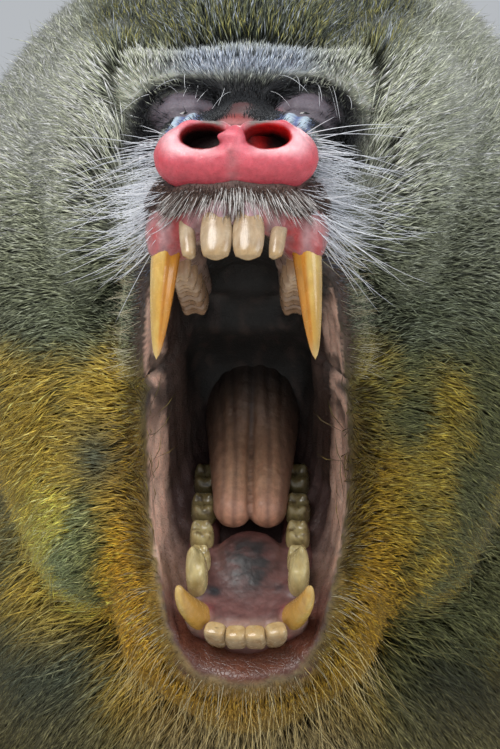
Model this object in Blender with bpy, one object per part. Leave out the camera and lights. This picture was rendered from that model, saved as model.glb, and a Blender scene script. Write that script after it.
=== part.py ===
"""A life-size standing mandrill, yawning with the eyes shut. Lengths are millimetres until new() writes metres.

The outline runs to the tips of the coat: each named form has a skin size and a coat depth, and forms blend into each
other. The nose points to -Y, the feet stand on z = 0 and +X is the animal's own left.
"""

import math

import bmesh
import bpy
import numpy as np

for old in list(bpy.data.objects):
    bpy.data.objects.remove(old, do_unlink=True)

GAP = 0.35  # between neighbouring solids
SHIFT = 65.8  # puts the middle of the length at y = 0
JOINT = (330.0, 700.0)  # hinge of the jaws: forward, up
SCALE = 0.975  # of the skull's own lengths
PITCH = math.radians(15)  # the upper head tips back
GAPE = math.radians(-50)  # the lower jaw hangs
CUT_Z = 300.0  # elbows and knees
WRIST_Z, ANKLE_Z = 70.0, 74.0

# ---------------------------------------------------------------- frames


def world(p):
    """(x, forward, up) to (x, y, z)."""
    return np.array([p[0], SHIFT - p[1], p[2]], float)


def turn(angle, f, u):
    return (
        f * math.cos(angle) - u * math.sin(angle),
        f * math.sin(angle) + u * math.cos(angle),
    )


def skull(p):
    f, u = turn(PITCH, p[1], p[2])
    return world((p[0] * SCALE, JOINT[0] + f * SCALE, JOINT[1] + u * SCALE))


def jaw(p):
    f, u = turn(GAPE, p[1], p[2])
    return world(
        (p[0] * SCALE, JOINT[0] + (f + 10) * SCALE, JOINT[1] + (u - 8) * SCALE)
    )


FRAMES = {"W": (world, 0.0, 1.0), "H": (skull, PITCH, SCALE), "J": (jaw, GAPE, SCALE)}

# ---------------------------------------------------------------- forms


def ellipsoid(p, frame, centre, radii, grow, tilt=0.0):
    place, angle, scale = FRAMES[frame]
    a = angle + math.radians(tilt)
    q = p - place(centre)
    f, u = -q[..., 1], q[..., 2]
    q = np.stack([q[..., 0], *turn(-a, f, u)], -1)
    r = np.array(radii) * scale + grow
    k0 = np.linalg.norm(q / r, axis=-1)
    k1 = np.linalg.norm(q / r**2, axis=-1) + 1e-9
    return k0 * (k0 - 1) / k1


def cone(p, frame, a, ra, b, rb, grow):
    """A round-ended cone between two points."""
    place, _, scale = FRAMES[frame]
    a, b = place(a), place(b)
    ra, rb = ra * scale + grow, rb * scale + grow
    ba = b - a
    length2 = ba @ ba
    rr = ra - rb
    a2 = length2 - rr * rr
    pa = p - a
    y = pa @ ba
    z = y - length2
    x2 = ((pa * length2 - y[..., None] * ba) ** 2).sum(-1)
    y2, z2 = y * y * length2, z * z * length2
    k = np.sign(rr) * rr * rr * x2
    side = (np.sqrt(x2 * a2 / length2) + y * rr) / length2 - ra
    near_b = np.sqrt(x2 + z2) / length2 - rb
    near_a = np.sqrt(x2 + y2) / length2 - ra
    return np.where(
        np.sign(z) * a2 * z2 > k, near_b, np.where(np.sign(y) * a2 * y2 < k, near_a, side)
    )


def blend(a, b, k):
    h = np.maximum(k - np.abs(a - b), 0) / k
    return np.minimum(a, b) - h * h * k / 4


def carve(a, b, k):
    return -blend(-a, b, k)


# Each form: kind, frame, sizes, depth of coat, width of its blend.
HEAD_FORMS = [
    ("e", "H", (0, 2, 30), (60, 74, 52), 16, 18),  # braincase
    ("e", "H", (0, -8, 52), (36, 60, 42), 27, 18),  # crest
    ("e", "H", (0, -45, 34), (66, 50, 60), 42, 22),  # occiput and nape
    ("c", "H", (0, 82, 46), 13, (39, 78, 44), 13, 4, 8),  # brow
    ("e", "H", (45, 38, 30), (22, 40, 32), 14, 14),  # temple
    ("e", "H", (50, 48, -8), (22, 36, 26), 13, 12),  # cheekbone
    ("e", "H", (50, 8, -45), (21, 32, 44), 17, 16),  # jaw muscle
    ("e", "H", (70, -15, -18), (34, 42, 78), 20, 22),  # side whiskers
    ("c", "H", (0, 74, -2), 38, (0, 137, -15), 27, 3, 12),  # muzzle
    ("c", "H", (0, 80, 32), 11, (0, 152, 3), 9, 1, 8),  # nasal bridge
    ("c", "H", (21, 82, 22), 14, (20, 143, 1), 12, 1, 7),  # paranasal ridge
    ("c", "H", (26, 112, -26), 12, (23, 146, -24), 11, 3, 8),  # upper lip
    ("c", "H", (35, 108, -36), 8, (39, 66, -64), 9, 4, 8),  # cheek, upper part
]
JAW_FORMS = [
    ("c", "J", (35, 106, -56), 8, (39, 60, -36), 9, 4, 8),  # cheek, lower part
    ("e", "J", (0, 146, -72), (27, 22, 19), 10, 10),  # chin
    ("c", "J", (26, 138, -70), 15, (44, 20, -58), 22, 14, 12),  # jaw body
    ("e", "J", (0, 96, -84), (34, 62, 26), 20, 16),  # floor and beard
    ("e", "J", (0, 40, -92), (48, 60, 34), 26, 20),  # throat
    ("e", "J", (58, 48, -66), (26, 52, 34), 20, 18),  # jowl whiskers
]
BODY_FORMS = [
    ("c", "W", (0, 185, 520), 86, (0, 286, 640), 72, 34, 40),  # neck
    ("e", "W", (0, 110, 455), (100, 150, 118), 24, 40),  # ribs
    ("e", "W", (0, 172, 500), (92, 98, 88), 34, 40),  # withers
    ("e", "W", (0, 236, 556), (88, 74, 92), 36, 40),  # mane
    ("e", "W", (0, 214, 432), (70, 66, 88), 28, 40),  # breast
    ("e", "W", (0, -60, 440), (88, 170, 98), 18, 40),  # belly
    ("e", "W", (0, -232, 462), (88, 105, 92), 16, 40),  # pelvis
    ("c", "W", (0, -318, 500), 22, (0, -346, 574), 12, 12, 16),  # tail
    ("e", "W", (30, -318, 428), (32, 26, 44), 5, 14),  # rump pad
]
EAR_HOLLOW = ((120, -50, 38), (30, 30, 32))
STRIDE = {1: (26.0, -18.0), -1: (-14.0, 30.0)}  # fore and hind foot of each side


def limb_forms(s):
    a, h = STRIDE[s]
    fore = [
        ("c", "W", (s * 86, 205, 442), 50, (s * 99, 142 + a * 0.4, 306), 37, 18, 34),
        ("e", "W", (s * 90, 162, 402), (40, 62, 84), 16, 30),
        ("c", "W", (s * 99, 142 + a * 0.4, 306), 36, (s * 100, 150 + a, 84), 20, 10, 24),
        ("e", "W", (s * 100, 148 + a * 0.55, 248), (33, 40, 62), 10, 20),
    ]
    hind = [
        ("c", "W", (s * 72, -232, 440), 82, (s * 94, -156 + h * 0.45, 292), 45, 16, 34),
        ("c", "W", (s * 94, -156 + h * 0.45, 292), 42, (s * 90, -264 + h, 82), 20, 9, 24),
        ("e", "W", (s * 92, -204 + h * 0.7, 216), (32, 42, 62), 9, 20),
    ]
    return fore, hind


def hand_forms(s):
    a = STRIDE[s][0]
    forms = [
        ("c", "W", (s * 100, 151 + a, 86), 19.5, (s * 101, 186 + a, 34), 16, 4, 8),
        ("e", "W", (s * 101, 180 + a, 38), (29, 20, 20), 2, 10),
        ("c", "W", (s * 78, 160 + a, 46), 9, (s * 70, 178 + a, 22), 8, 1, 6),
        ("c", "W", (s * 70, 178 + a, 22), 7.5, (s * 68, 196 + a, 7), 7, 1, 3),
    ]
    for dx, reach in ((-21, 46), (-7.5, 54), (7.5, 55), (21, 47)):
        x, f = s * 101 + dx, 190 + a
        forms += [
            ("c", "W", (x, f, 27), 9, (x + dx * 0.15, f + 21, 23), 8, 1, 4),
            ("c", "W", (x + dx * 0.15, f + 21, 23), 8, (x + dx * 0.3, f + reach - 12, 8), 7, 1, 3),
            ("c", "W", (x + dx * 0.3, f + reach - 12, 8), 7, (x + dx * 0.33, f + reach, 6), 6.5, 1, 3),
        ]
    return forms


def foot_forms(s):
    h = STRIDE[s][1]
    forms = [
        ("c", "W", (s * 90, -264 + h, 84), 20, (s * 90, -274 + h, 32), 19, 4, 8),
        ("c", "W", (s * 90, -282 + h, 19), 19, (s * 92, -192 + h, 17.5), 18, 3, 10),
        ("e", "W", (s * 93, -196 + h, 16.5), (30, 26, 18), 2, 10),
        ("c", "W", (s * 70, -222 + h, 18), 11, (s * 58, -196 + h, 12), 9, 1, 5),
        ("c", "W", (s * 58, -196 + h, 12), 8.5, (s * 52, -174 + h, 6.5), 7.5, 1, 3),
    ]
    for dx, reach in ((-21, 52), (-7, 60), (7, 58), (21, 50)):
        x, f = s * 94 + dx, -186 + h
        forms += [
            ("c", "W", (x, f, 19), 10, (x + dx * 0.15, f + 26, 19), 8.5, 1, 4),
            ("c", "W", (x + dx * 0.15, f + 26, 19), 8.5, (x + dx * 0.3, f + reach - 10, 8), 7.5, 1, 3),
            ("c", "W", (x + dx * 0.3, f + reach - 10, 8), 7.5, (x + dx * 0.33, f + reach, 6.5), 7, 1, 3),
        ]
    return forms


def union(p, forms, start=None):
    d = start
    for kind, frame, *sizes in forms:
        *sizes, coat, k = sizes
        one = (ellipsoid if kind == "e" else cone)(p, frame, *sizes, coat)
        d = one if d is None else blend(d, one, k)
    return d


def mirrored(p):
    return np.stack([np.abs(p[..., 0]), p[..., 1], p[..., 2]], -1)


def plane(p, frame, point, lean):
    """Height over a plane through a point; lean turns the frame's up axis towards forward, in degrees."""
    place, angle, _ = FRAMES[frame]
    q = p - place(point)
    f, u = turn(-angle - math.radians(lean), -q[..., 1], q[..., 2])
    return u


LIP_UP = (-165, -122, -100, -75, -60, -44, -7)  # the side of the lips, from the lower one to the upper
LIP_FORWARD = (74, 47, 42, 50, 64, 88, 120)
LIP_HALF = (28, 37, 39.5, 40, 40, 39, 36)


def mouth(p):
    """The open mouth: between the upper and the lower lip, inside the cheeks."""
    above_floor = plane(p, "J", (0, 130, -61), 0)
    below_roof = -plane(p, "H", (0, 150, -38), 3)
    forward = -(p[..., 1] - skull((0, 4, 0))[1])
    up = p[..., 2] - JOINT[1]
    margin = np.interp(up, LIP_UP, LIP_FORWARD)
    inward = np.maximum(margin - (SHIFT - JOINT[0] - p[..., 1]), 0)
    half = np.interp(up, LIP_UP, LIP_HALF)
    width = np.maximum(half - 0.4 * inward, half * 0.67)
    d = np.maximum(-above_floor, -below_roof)
    d = -blend(-d, -(np.abs(p[..., 0]) - width), 12)
    return -blend(-d, forward, 24)


def head_field(p):
    q = mirrored(p)
    d = union(q, HEAD_FORMS)
    d = union(q, JAW_FORMS, d)
    d = blend(d, cone(q, "W", (0, 185, 520), 86, (0, 286, 640), 72, 34), 40)
    socket = ellipsoid(q, "H", (26, 88, 33), (15, 12, 12), 0)
    d = carve(d, socket, 8)
    d = carve(d, ellipsoid(q, "H", *EAR_HOLLOW, 0), 10)
    vault = cone(q, "H", (0, 140, -42), 15, (0, 60, -44), 22, 0)
    bowl = cone(q, "J", (0, 142, -56), 13, (0, 62, -46), 24, 0)
    return carve(d, blend(mouth(p), blend(vault, bowl, 10), 8), 3)


def body_field(p):
    q = mirrored(p)
    d = union(q, BODY_FORMS)
    for s in (1, -1):
        fore, hind = limb_forms(s)
        d = union(p, fore + hind, d)
    return d


def trunk_field(p):
    q = mirrored(p)
    rear = union(q, [f for f in HEAD_FORMS + JAW_FORMS if f[2][1] < 60])
    return blend(body_field(p), rear, 40)


def lower_field(forms):
    return lambda p: union(p, forms)


# ---------------------------------------------------------------- surfaces


CORNERS = [(i, j, k) for i in (0, 1) for j in (0, 1) for k in (0, 1)]


def parts_of(chosen):
    left, parts = set(chosen), 0
    while left:
        stack, parts = [left.pop()], parts + 1
        while stack:
            c = stack.pop()
            near = {o for o in left if sum(abs(a - b) for a, b in zip(c, o)) == 1}
            left -= near
            stack += near
    return parts


CLEAR = np.array(
    [
        all(
            parts_of([c for n, c in enumerate(CORNERS) if (code >> n & 1) == want]) <= 1
            for want in (0, 1)
        )
        for code in range(256)
    ]
)


def fill_pinches(d):
    """Fills the corners where two sheets of the surface would share a point."""
    for _ in range(40):
        n = np.array(d.shape) - 1
        views = [d[i : n[0] + i, j : n[1] + j, k : n[2] + k] for i, j, k in CORNERS]
        code = sum((v < 0).astype(int) << m for m, v in enumerate(views))
        bad = np.argwhere(~CLEAR[code])
        if not len(bad):
            break
        for cell in bad:
            outside = [tuple(cell + c) for c in CORNERS if d[tuple(cell + c)] >= 0]
            if outside:
                d[min(outside, key=lambda at: d[at])] = -0.05


def nets(field, low, high, step):
    """A closed surface where the field is zero, as points and four-sided faces."""
    low, high = np.array(low, float), np.array(high, float)
    n = np.ceil((high - low) / step).astype(int) + 1
    ax = [low[i] + step * np.arange(n[i]) for i in range(3)]
    d = np.empty(tuple(n))
    for i in range(n[0]):
        grid = np.stack(np.meshgrid(ax[0][i : i + 1], ax[1], ax[2], indexing="ij"), -1)
        d[i] = field(grid)[0]
    for axis in range(3):
        for end in (0, -1):
            part = [slice(None)] * 3
            part[axis] = end
            d[tuple(part)] = np.maximum(d[tuple(part)], step * 0.5)
    fill_pinches(d)
    inside = d < 0
    cells = tuple(n - 1)
    total, count = np.zeros(cells + (3,)), np.zeros(cells)
    crossings = []
    for axis in range(3):
        a = [slice(None)] * 3
        b = [slice(None)] * 3
        a[axis], b[axis] = slice(0, -1), slice(1, None)
        da, db = d[tuple(a)], d[tuple(b)]
        crossed = (da < 0) != (db < 0)
        t = np.where(crossed, da / np.where(crossed, da - db, 1), 0)
        crossings.append(crossed)
        others = [k for k in range(3) if k != axis]
        for j in (0, 1):
            for k in (0, 1):
                view = [slice(None)] * 3
                view[others[0]] = slice(j, n[others[0]] - 1 + j)
                view[others[1]] = slice(k, n[others[1]] - 1 + k)
                c = crossed[tuple(view)]
                count += c
                total[..., axis] += np.where(c, t[tuple(view)], 0)
                total[..., others[0]] += c * j
                total[..., others[1]] += c * k
    used = count > 0
    index = np.full(cells, -1)
    index[used] = np.arange(used.sum())
    where = np.argwhere(used)
    points = low + step * (where + total[used] / count[used][:, None])
    faces = []
    for axis in range(3):
        j, k = (axis + 1) % 3, (axis + 2) % 3
        at = np.argwhere(crossings[axis])
        at = at[(at[:, j] > 0) & (at[:, k] > 0) & (at[:, j] < n[j] - 1) & (at[:, k] < n[k] - 1)]
        corners = []
        for dj, dk in ((-1, -1), (0, -1), (0, 0), (-1, 0)):
            c = at.copy()
            c[:, j] += dj
            c[:, k] += dk
            corners.append(index[tuple(c.T)])
        quads = np.stack(corners, 1)
        flip = ~inside[tuple(at.T)]
        quads[flip] = quads[flip][:, ::-1]
        faces.append(quads)
    return points, np.concatenate(faces)


def new(name, points, faces):
    data = bpy.data.meshes.new(name)
    data.from_pydata([tuple(p) for p in np.asarray(points) / 1000], [], [tuple(map(int, f)) for f in faces])
    data.update()
    obj = bpy.data.objects.new(name, data)
    bpy.context.scene.collection.objects.link(obj)
    return obj


def settle(obj):
    """Turns the object's modifiers into its mesh."""
    bpy.context.view_layer.update()
    done = obj.evaluated_get(bpy.context.evaluated_depsgraph_get())
    data = bpy.data.meshes.new_from_object(done)
    obj.modifiers.clear()
    obj.data = data
    return obj


def sound(data):
    bm = bmesh.new()
    bm.from_mesh(data)
    bmesh.ops.remove_doubles(bm, verts=bm.verts, dist=2e-6)
    good = all(v.is_manifold for v in bm.verts) and all(e.is_manifold for e in bm.edges)
    bm.free()
    return good


def surface(name, field, low, high, step, triangles):
    points, faces = nets(field, low, high, step)
    for more in range(12):
        obj = new(name, points, faces)
        thin = obj.modifiers.new("thin", "DECIMATE")
        thin.ratio = min(1.0, triangles * (1 + 0.03 * more) / (2 * len(faces)))
        settle(obj)
        if sound(obj.data):
            return obj
        remove(obj)
    raise RuntimeError(name + " stays pinched")


def merge_flats(obj, degrees=1.5):
    """Joins the slivers that cuts leave on a nearly flat face."""
    before = obj.data
    bm = bmesh.new()
    bm.from_mesh(before)
    bmesh.ops.dissolve_degenerate(bm, edges=bm.edges, dist=2e-5)
    bmesh.ops.dissolve_limit(
        bm, angle_limit=math.radians(degrees), verts=bm.verts, edges=bm.edges
    )
    bmesh.ops.triangulate(bm, faces=bm.faces)
    after = before.copy()
    bm.to_mesh(after)
    bm.free()
    if sound(after):
        obj.data = after


def remove(obj):
    bpy.data.objects.remove(obj, do_unlink=True)


def boolean(obj, other, operation, keep_other=False):
    change = obj.modifiers.new("change", "BOOLEAN")
    change.operation, change.solver, change.object = operation, "MANIFOLD", other
    settle(obj)
    if not keep_other:
        remove(other)
    return tidy(obj)


def tidy(obj):
    """Keeps the largest body and joins points that fall together."""
    bm = bmesh.new()
    bm.from_mesh(obj.data)
    bmesh.ops.triangulate(bm, faces=bm.faces)
    seen, groups = set(), []
    for start in bm.verts:
        if start in seen:
            continue
        stack, group = [start], []
        seen.add(start)
        while stack:
            v = stack.pop()
            group.append(v)
            for e in v.link_edges:
                w = e.other_vert(v)
                if w not in seen:
                    seen.add(w)
                    stack.append(w)
        groups.append(group)
    groups.sort(key=len)
    for group in groups[:-1]:
        bmesh.ops.delete(bm, geom=group, context="VERTS")
    bm.to_mesh(obj.data)
    bm.free()
    return obj


def copy(obj, name):
    twin = bpy.data.objects.new(name, obj.data.copy())
    bpy.context.scene.collection.objects.link(twin)
    return twin


def slab(frame, point, lean, side, gap=GAP / 2, size=1200.0):
    """A large block filling one side (1 over, -1 under) of a plane, as plane() has it, less half a gap."""
    place, angle, _ = FRAMES[frame]
    a = angle + math.radians(lean)
    centre = place(point)
    along = np.array([0, -math.cos(a), math.sin(a)])
    up = np.array([0, math.sin(a), math.cos(a)])
    across = np.array([1.0, 0, 0])
    points = [
        centre + across * i * size + along * j * size + up * side * (gap if k < 0 else size)
        for i in (-1, 1)
        for j in (-1, 1)
        for k in (-1, 1)
    ]
    return hull("slab", points)


def hull(name, points):
    obj = new(name, points, [])
    bm = bmesh.new()
    bm.from_mesh(obj.data)
    made = bmesh.ops.convex_hull(bm, input=bm.verts)
    loose = [g for g in made["geom_interior"] if isinstance(g, bmesh.types.BMVert)]
    bmesh.ops.delete(bm, geom=loose, context="VERTS")
    bmesh.ops.recalc_face_normals(bm, faces=bm.faces)
    bm.to_mesh(obj.data)
    bm.free()
    return obj


def ball_points(centre, r, rows=5, columns=8):
    c = world(centre)
    out = []
    for i in range(rows + 1):
        polar = math.pi * i / rows
        for j in range(columns):
            turn_ = 2 * math.pi * j / columns
            out.append(
                c
                + r
                * np.array(
                    [math.sin(polar) * math.cos(turn_), math.sin(polar) * math.sin(turn_), math.cos(polar)]
                )
            )
    return out


def keep(obj, frame, point, lean, side):
    return boolean(obj, slab(frame, point, lean, side), "INTERSECT")


def level(z):
    return ("W", (0, 0, z), 0)


# ---------------------------------------------------------------- trunk and upper limbs

NECK_PLANE = ("W", (0, 265, 700), -72)  # the head lies over it
CHEST_PLANE = ("W", (0, 205, 552), -38)
RIB_PLANE = ("W", (0, 26, 450), -90)
LOIN_PLANE = ("W", (0, -138, 450), -90)

trunk = surface("chest", trunk_field, (-190, -340, 270), (190, 480, 860), 8.0, 950)
trunk = keep(trunk, *level(CUT_Z), 1)
trunk = keep(trunk, *NECK_PLANE, -1)

tail = copy(trunk, "tail")
TAIL_PLANE = ("W", (0, -332, 524), 20)
tail = boolean(
    tail,
    hull("tail_box", ball_points((0, -352, 570), 46)),
    "INTERSECT",
)
trunk = boolean(trunk, hull("tail_box", ball_points((0, -352, 570), 46 + GAP)), "DIFFERENCE")

for side, tag in ((1, "left"), (-1, "right")):
    a, h = STRIDE[side]
    for name, ends in (
        ("upper_arm_", [((side * 128, 192, 452), 84), ((side * 108, 150, 290), 88)]),
        ("thigh_", [((side * 128, -228, 420), 98), ((side * 112, -170, 270), 92)]),
    ):
        piece = copy(trunk, name + tag)
        boolean(piece, hull("in", sum((ball_points(c, r) for c, r in ends), [])), "INTERSECT")
        boolean(trunk, hull("out", sum((ball_points(c, r + GAP) for c, r in ends), [])), "DIFFERENCE")

neck = copy(trunk, "neck")
keep(neck, *CHEST_PLANE, 1)
keep(trunk, *CHEST_PLANE, -1)
abdomen = copy(trunk, "abdomen")
rump = copy(trunk, "rump")
keep(trunk, *RIB_PLANE, 1)
keep(abdomen, *RIB_PLANE, -1)
keep(abdomen, *LOIN_PLANE, 1)
keep(rump, *LOIN_PLANE, -1)

# ---------------------------------------------------------------- lower limbs



def extremity(name, field, low, high, top):
    """A hand or a foot, flat where it meets the ground."""
    for triangles in range(230, 300, 7):
        piece = surface(name, field, low, high, 3.0, triangles)
        keep(piece, *level(top), -1)
        boolean(piece, slab("W", (0, 0, 0), 0, 1, gap=0), "INTERSECT")
        if sound(piece.data):
            return piece
        remove(piece)
    raise RuntimeError(name + " stays pinched")


for side, tag in ((1, "left"), (-1, "right")):
    a, h = STRIDE[side]
    fore, hind = limb_forms(side)
    x0, x1 = sorted((side * 30, side * 172))
    y0, y1 = SHIFT - 260, SHIFT - 40
    field = lower_field(fore + hand_forms(side)[:2])
    piece = surface("forearm_" + tag, field, (x0, y0, 50), (x1, y1, 330), 6.0, 130)
    keep(piece, *level(CUT_Z), -1)
    keep(piece, *level(WRIST_Z), 1)
    field = lower_field(fore[2:] + hand_forms(side))
    extremity("hand_" + tag, field, (x0, SHIFT - 300, -12), (x1, SHIFT - 90, 90), WRIST_Z)
    field = lower_field(hind + foot_forms(side)[:2])
    piece = surface("shank_" + tag, field, (x0, SHIFT + 60, 50), (x1, SHIFT + 340, 330), 6.0, 130)
    keep(piece, *level(CUT_Z), -1)
    keep(piece, *level(ANKLE_Z), 1)
    field = lower_field(hind[1:] + foot_forms(side))
    extremity("foot_" + tag, field, (x0, SHIFT + 80, -14), (x1, SHIFT + 340, 96), ANKLE_Z)

# ---------------------------------------------------------------- head and lower jaw

head = surface("head", head_field, (-132, -470, 430), (132, -110, 860), 3.4, 1350)
keep(head, *NECK_PLANE, 1)
lower = copy(head, "lower_jaw")
BITE_PLANE = ("W", (0, JOINT[0], JOINT[1] - 6), -17.5)
keep(head, *BITE_PLANE, 1)
keep(lower, *BITE_PLANE, -1)

# ---------------------------------------------------------------- nose, eyes and ears

NOSE_FORMS = [
    ("e", "H", (0, 165, -8), (18, 11, 12.5), 0, 6),  # middle
    ("e", "H", (16.5, 162, -6), (17, 13, 14), 0, 6),  # wing
]
EYE_FORMS = [("e", "H", (25, 83, 32), (13.5, 12, 11), 0, 4)]
EAR_FORMS = [
    ("e", "H", (99, -53, 40), (7, 17, 24), 0, 6),  # shell
    ("e", "H", (91, -47, 31), (12, 11, 14), 0, 8),  # root
]


def nose_field(p):
    q = mirrored(p)
    d = union(q, NOSE_FORMS)
    return carve(d, ellipsoid(q, "H", (13, 176, 0), (7.6, 12, 4.8), 0), 4)


def one_side(forms, side, hollow=None):
    def field(p):
        q = np.stack([p[..., 0] * side, p[..., 1], p[..., 2]], -1)
        d = union(q, forms)
        return d if hollow is None else carve(d, ellipsoid(q, *hollow, 0), 4)

    return field


def grown(obj, by=GAP):
    twin = copy(obj, "grown")
    out = twin.modifiers.new("out", "DISPLACE")
    out.strength, out.mid_level = by * 1.25 / 1000, 0.0
    return settle(twin)


def around(place, centre, reach):
    c = place(centre)
    return c - reach, c + reach


small = [(surface("nose", nose_field, *around(skull, (0, 166, -6), 42), 1.7, 260), (head,))]
for side, tag in ((1, "left"), (-1, "right")):
    field = one_side(EYE_FORMS, side)
    box = around(skull, (side * 25, 83, 32), 20)
    small.append((surface("eye_" + tag, field, *box, 2.2, 70), (head,)))
    field = one_side(EAR_FORMS, side, ("H", (107, -49, 41), (7, 12, 18)))
    box = around(skull, (side * 98, -52, 38), 36)
    small.append((surface("ear_" + tag, field, *box, 2.4, 130), (head, lower, neck)))

# ---------------------------------------------------------------- gums, teeth and tongue


def section(place, centre, half, turned=0.0, sides=6):
    """One cross-section of a tooth, in the plane of the jaw."""
    out = []
    for i in range(sides):
        a = 2 * math.pi * (i + 0.5) / sides
        x, f = half[0] * math.cos(a), half[1] * math.sin(a)
        c, s = math.cos(turned), math.sin(turned)
        out.append(place((centre[0] + x * c - f * s, centre[1] + x * s + f * c, centre[2])))
    return out


def tooth(place, *rings, turned=0.0, sides=5):
    points = []
    for centre, half in rings:
        points += section(place, centre, half, turned, sides)
    return hull("tooth", points)


def teeth(place, gum, sides, rows):
    for s in sides:
        for turned, *rings in rows:
            square = 4 if len(rings) == 2 else 6
            rings = [((s * c[0], c[1], c[2]), half) for c, half in rings]
            boolean(gum, tooth(place, *rings, turned=s * turned, sides=square), "UNION")
    return gum


def fang(place, gum, stations, sides=6):
    """A curved canine, one ring of points after another."""
    points, faces = [], []
    for centre, half in stations:
        points += section(place, centre, half, 0.0, sides)
    for r in range(len(stations) - 1):
        for i in range(sides):
            a, b = r * sides + i, r * sides + (i + 1) % sides
            faces.append((a, b, b + sides, a + sides))
    faces += [tuple(range(sides))[::-1], tuple(range(len(points) - sides, len(points)))]
    obj = new("fang", points, faces)
    bm = bmesh.new()
    bm.from_mesh(obj.data)
    bmesh.ops.triangulate(bm, faces=bm.faces)
    bmesh.ops.recalc_face_normals(bm, faces=bm.faces)
    bm.to_mesh(obj.data)
    bm.free()
    return boolean(gum, obj, "UNION")


UPPER_GUM = [
    ("c", "H", (21, 66, -36), 7, (22.5, 112, -37), 8, 0, 4),
    ("c", "H", (22.5, 112, -37), 8, (27, 146, -37), 9.5, 0, 4),
    ("c", "H", (27, 146, -37), 9.5, (12, 159, -30), 8, 0, 4),
    ("c", "H", (12, 159, -30), 8, (0, 161, -28), 8, 0, 4),
]
UPPER_TEETH = [
    (0.0, ((6.2, 161, -30), (5.2, 4.4)), ((6.4, 167, -45), (6.6, 3.6)), ((6.4, 168, -51), (6.2, 1.6))),
    (-0.3, ((15.6, 157, -31), (3.6, 3.8)), ((16.8, 163, -45), (4.0, 2.8)), ((17, 164, -49.5), (3.0, 1.4))),
    (0.0, ((24, 129, -39), (5.5, 6)), ((23.4, 129, -51), (3.4, 3.8))),
    (0.0, ((22.5, 117, -39), (6.6, 6.6)), ((22, 117, -51), (4.8, 4.8))),
    (0.0, ((21.8, 104, -39), (7, 7.6)), ((21.6, 104, -50.5), (5.6, 6.4))),
    (0.0, ((21.3, 90, -39), (7, 8)), ((21.2, 90, -50.5), (5.8, 6.8))),
    (0.0, ((20.8, 75, -39), (7, 8)), ((20.8, 75, -50), (5.8, 6.8))),
]
UPPER_FANG = [((27.5, 147.5, -39), (6.8, 7.6)), ((29, 148, -50), (6.6, 7.6)), ((30, 146.5, -68), (4.8, 5.6)), ((30.6, 143, -87), (1.2, 1.4))]
LOWER_GUM = [
    ("c", "J", (19.5, 64, -64), 6.5, (20.5, 112, -64), 7.5, 0, 4),
    ("c", "J", (20.5, 112, -64), 7.5, (18, 144, -63), 8, 0, 4),
    ("c", "J", (18, 144, -63), 8, (0, 153, -62), 8, 0, 4),
    ("e", "J", (0, 134, -65), (20, 24, 8), 0, 6),  # shelf behind the incisors
]
LOWER_TEETH = [
    (0.0, ((4.6, 153, -62), (4.2, 3.8)), ((4.6, 159, -54), (4.8, 3.0)), ((4.6, 160, -50.5), (4.4, 1.6))),
    (0.35, ((12.6, 149, -62), (3.6, 3.8)), ((13, 154, -54), (4.2, 3.0)), ((13, 155, -51), (3.4, 1.6))),
    (0.0, ((20.5, 131, -62), (4.4, 8)), ((22, 128, -50), (3.9, 6)), ((22.6, 126, -41), (1.6, 2.2))),
    (0.0, ((20.6, 116, -62), (5.6, 7)), ((20.8, 116, -50), (4.4, 5.2))),
    (0.0, ((20.3, 102.5, -62), (5.9, 7.6)), ((20.4, 102.5, -51), (5, 6.4))),
    (0.0, ((20, 88, -62), (6, 8)), ((20, 88, -51), (5.2, 6.8))),
    (0.0, ((19.5, 72, -62), (6, 9)), ((19.5, 72, -51), (5.2, 7.8))),
]
LOWER_FANG = [((17, 145, -60), (6.2, 7)), ((20.5, 148.5, -50), (6, 6.8)), ((24.5, 151, -40), (4.2, 4.8)), ((27.2, 151, -28), (1.2, 1.4))]


def gum_field(forms):
    return lambda p: union(mirrored(p), forms)


upper_box = (skull((-42, 0, 0))[0], skull((0, 178, -60))[1] - 4, skull((0, 60, -60))[2] - 2), (
    skull((42, 0, 0))[0],
    skull((0, 50, -60))[1] + 4,
    skull((0, 170, -15))[2] + 4,
)
upper = surface("upper_teeth", gum_field(UPPER_GUM), *upper_box, 2.6, 130)
teeth(skull, upper, (1, -1), UPPER_TEETH)
lower_box = (-42, jaw((0, 170, -60))[1] - 8, jaw((0, 170, -80))[2] - 6), (42, jaw((0, 50, -80))[1] + 14, jaw((0, 50, -50))[2] + 6)
under = surface("lower_teeth", gum_field(LOWER_GUM), *lower_box, 2.6, 160)
teeth(jaw, under, (1, -1), LOWER_TEETH)
for s in (1, -1):
    fang(skull, upper, [((s * c[0], c[1], c[2]), h) for c, h in UPPER_FANG])
    fang(jaw, under, [((s * c[0], c[1], c[2]), h) for c, h in LOWER_FANG])

TONGUE = [
    ("c", "J", (9.5, 24, -45), 12.5, (7.2, 91, -51), 8.3, 0, 5),  # one lobe each side
    ("e", "J", (0, 24, -46), (19, 32, 21), 0, 10),  # the raised back
]


def tongue_field(p):
    return union(mirrored(p), TONGUE)


tongue_box = (-26, jaw((0, 110, -60))[1] - 10, jaw((0, 110, -70))[2] - 6), (26, jaw((0, -8, -60))[1] + 22, jaw((0, 0, -40))[2] + 16)
tongue = surface("tongue", tongue_field, *tongue_box, 2.6, 160)
boolean(head, grown(upper), "DIFFERENCE")
boolean(tongue, grown(under), "DIFFERENCE")
boolean(lower, grown(under), "DIFFERENCE")
small += [(tongue, (lower, head))]
for piece, hosts in small:
    for host in hosts:
        boolean(host, grown(piece), "DIFFERENCE")

# ---------------------------------------------------------------- finishes

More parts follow.
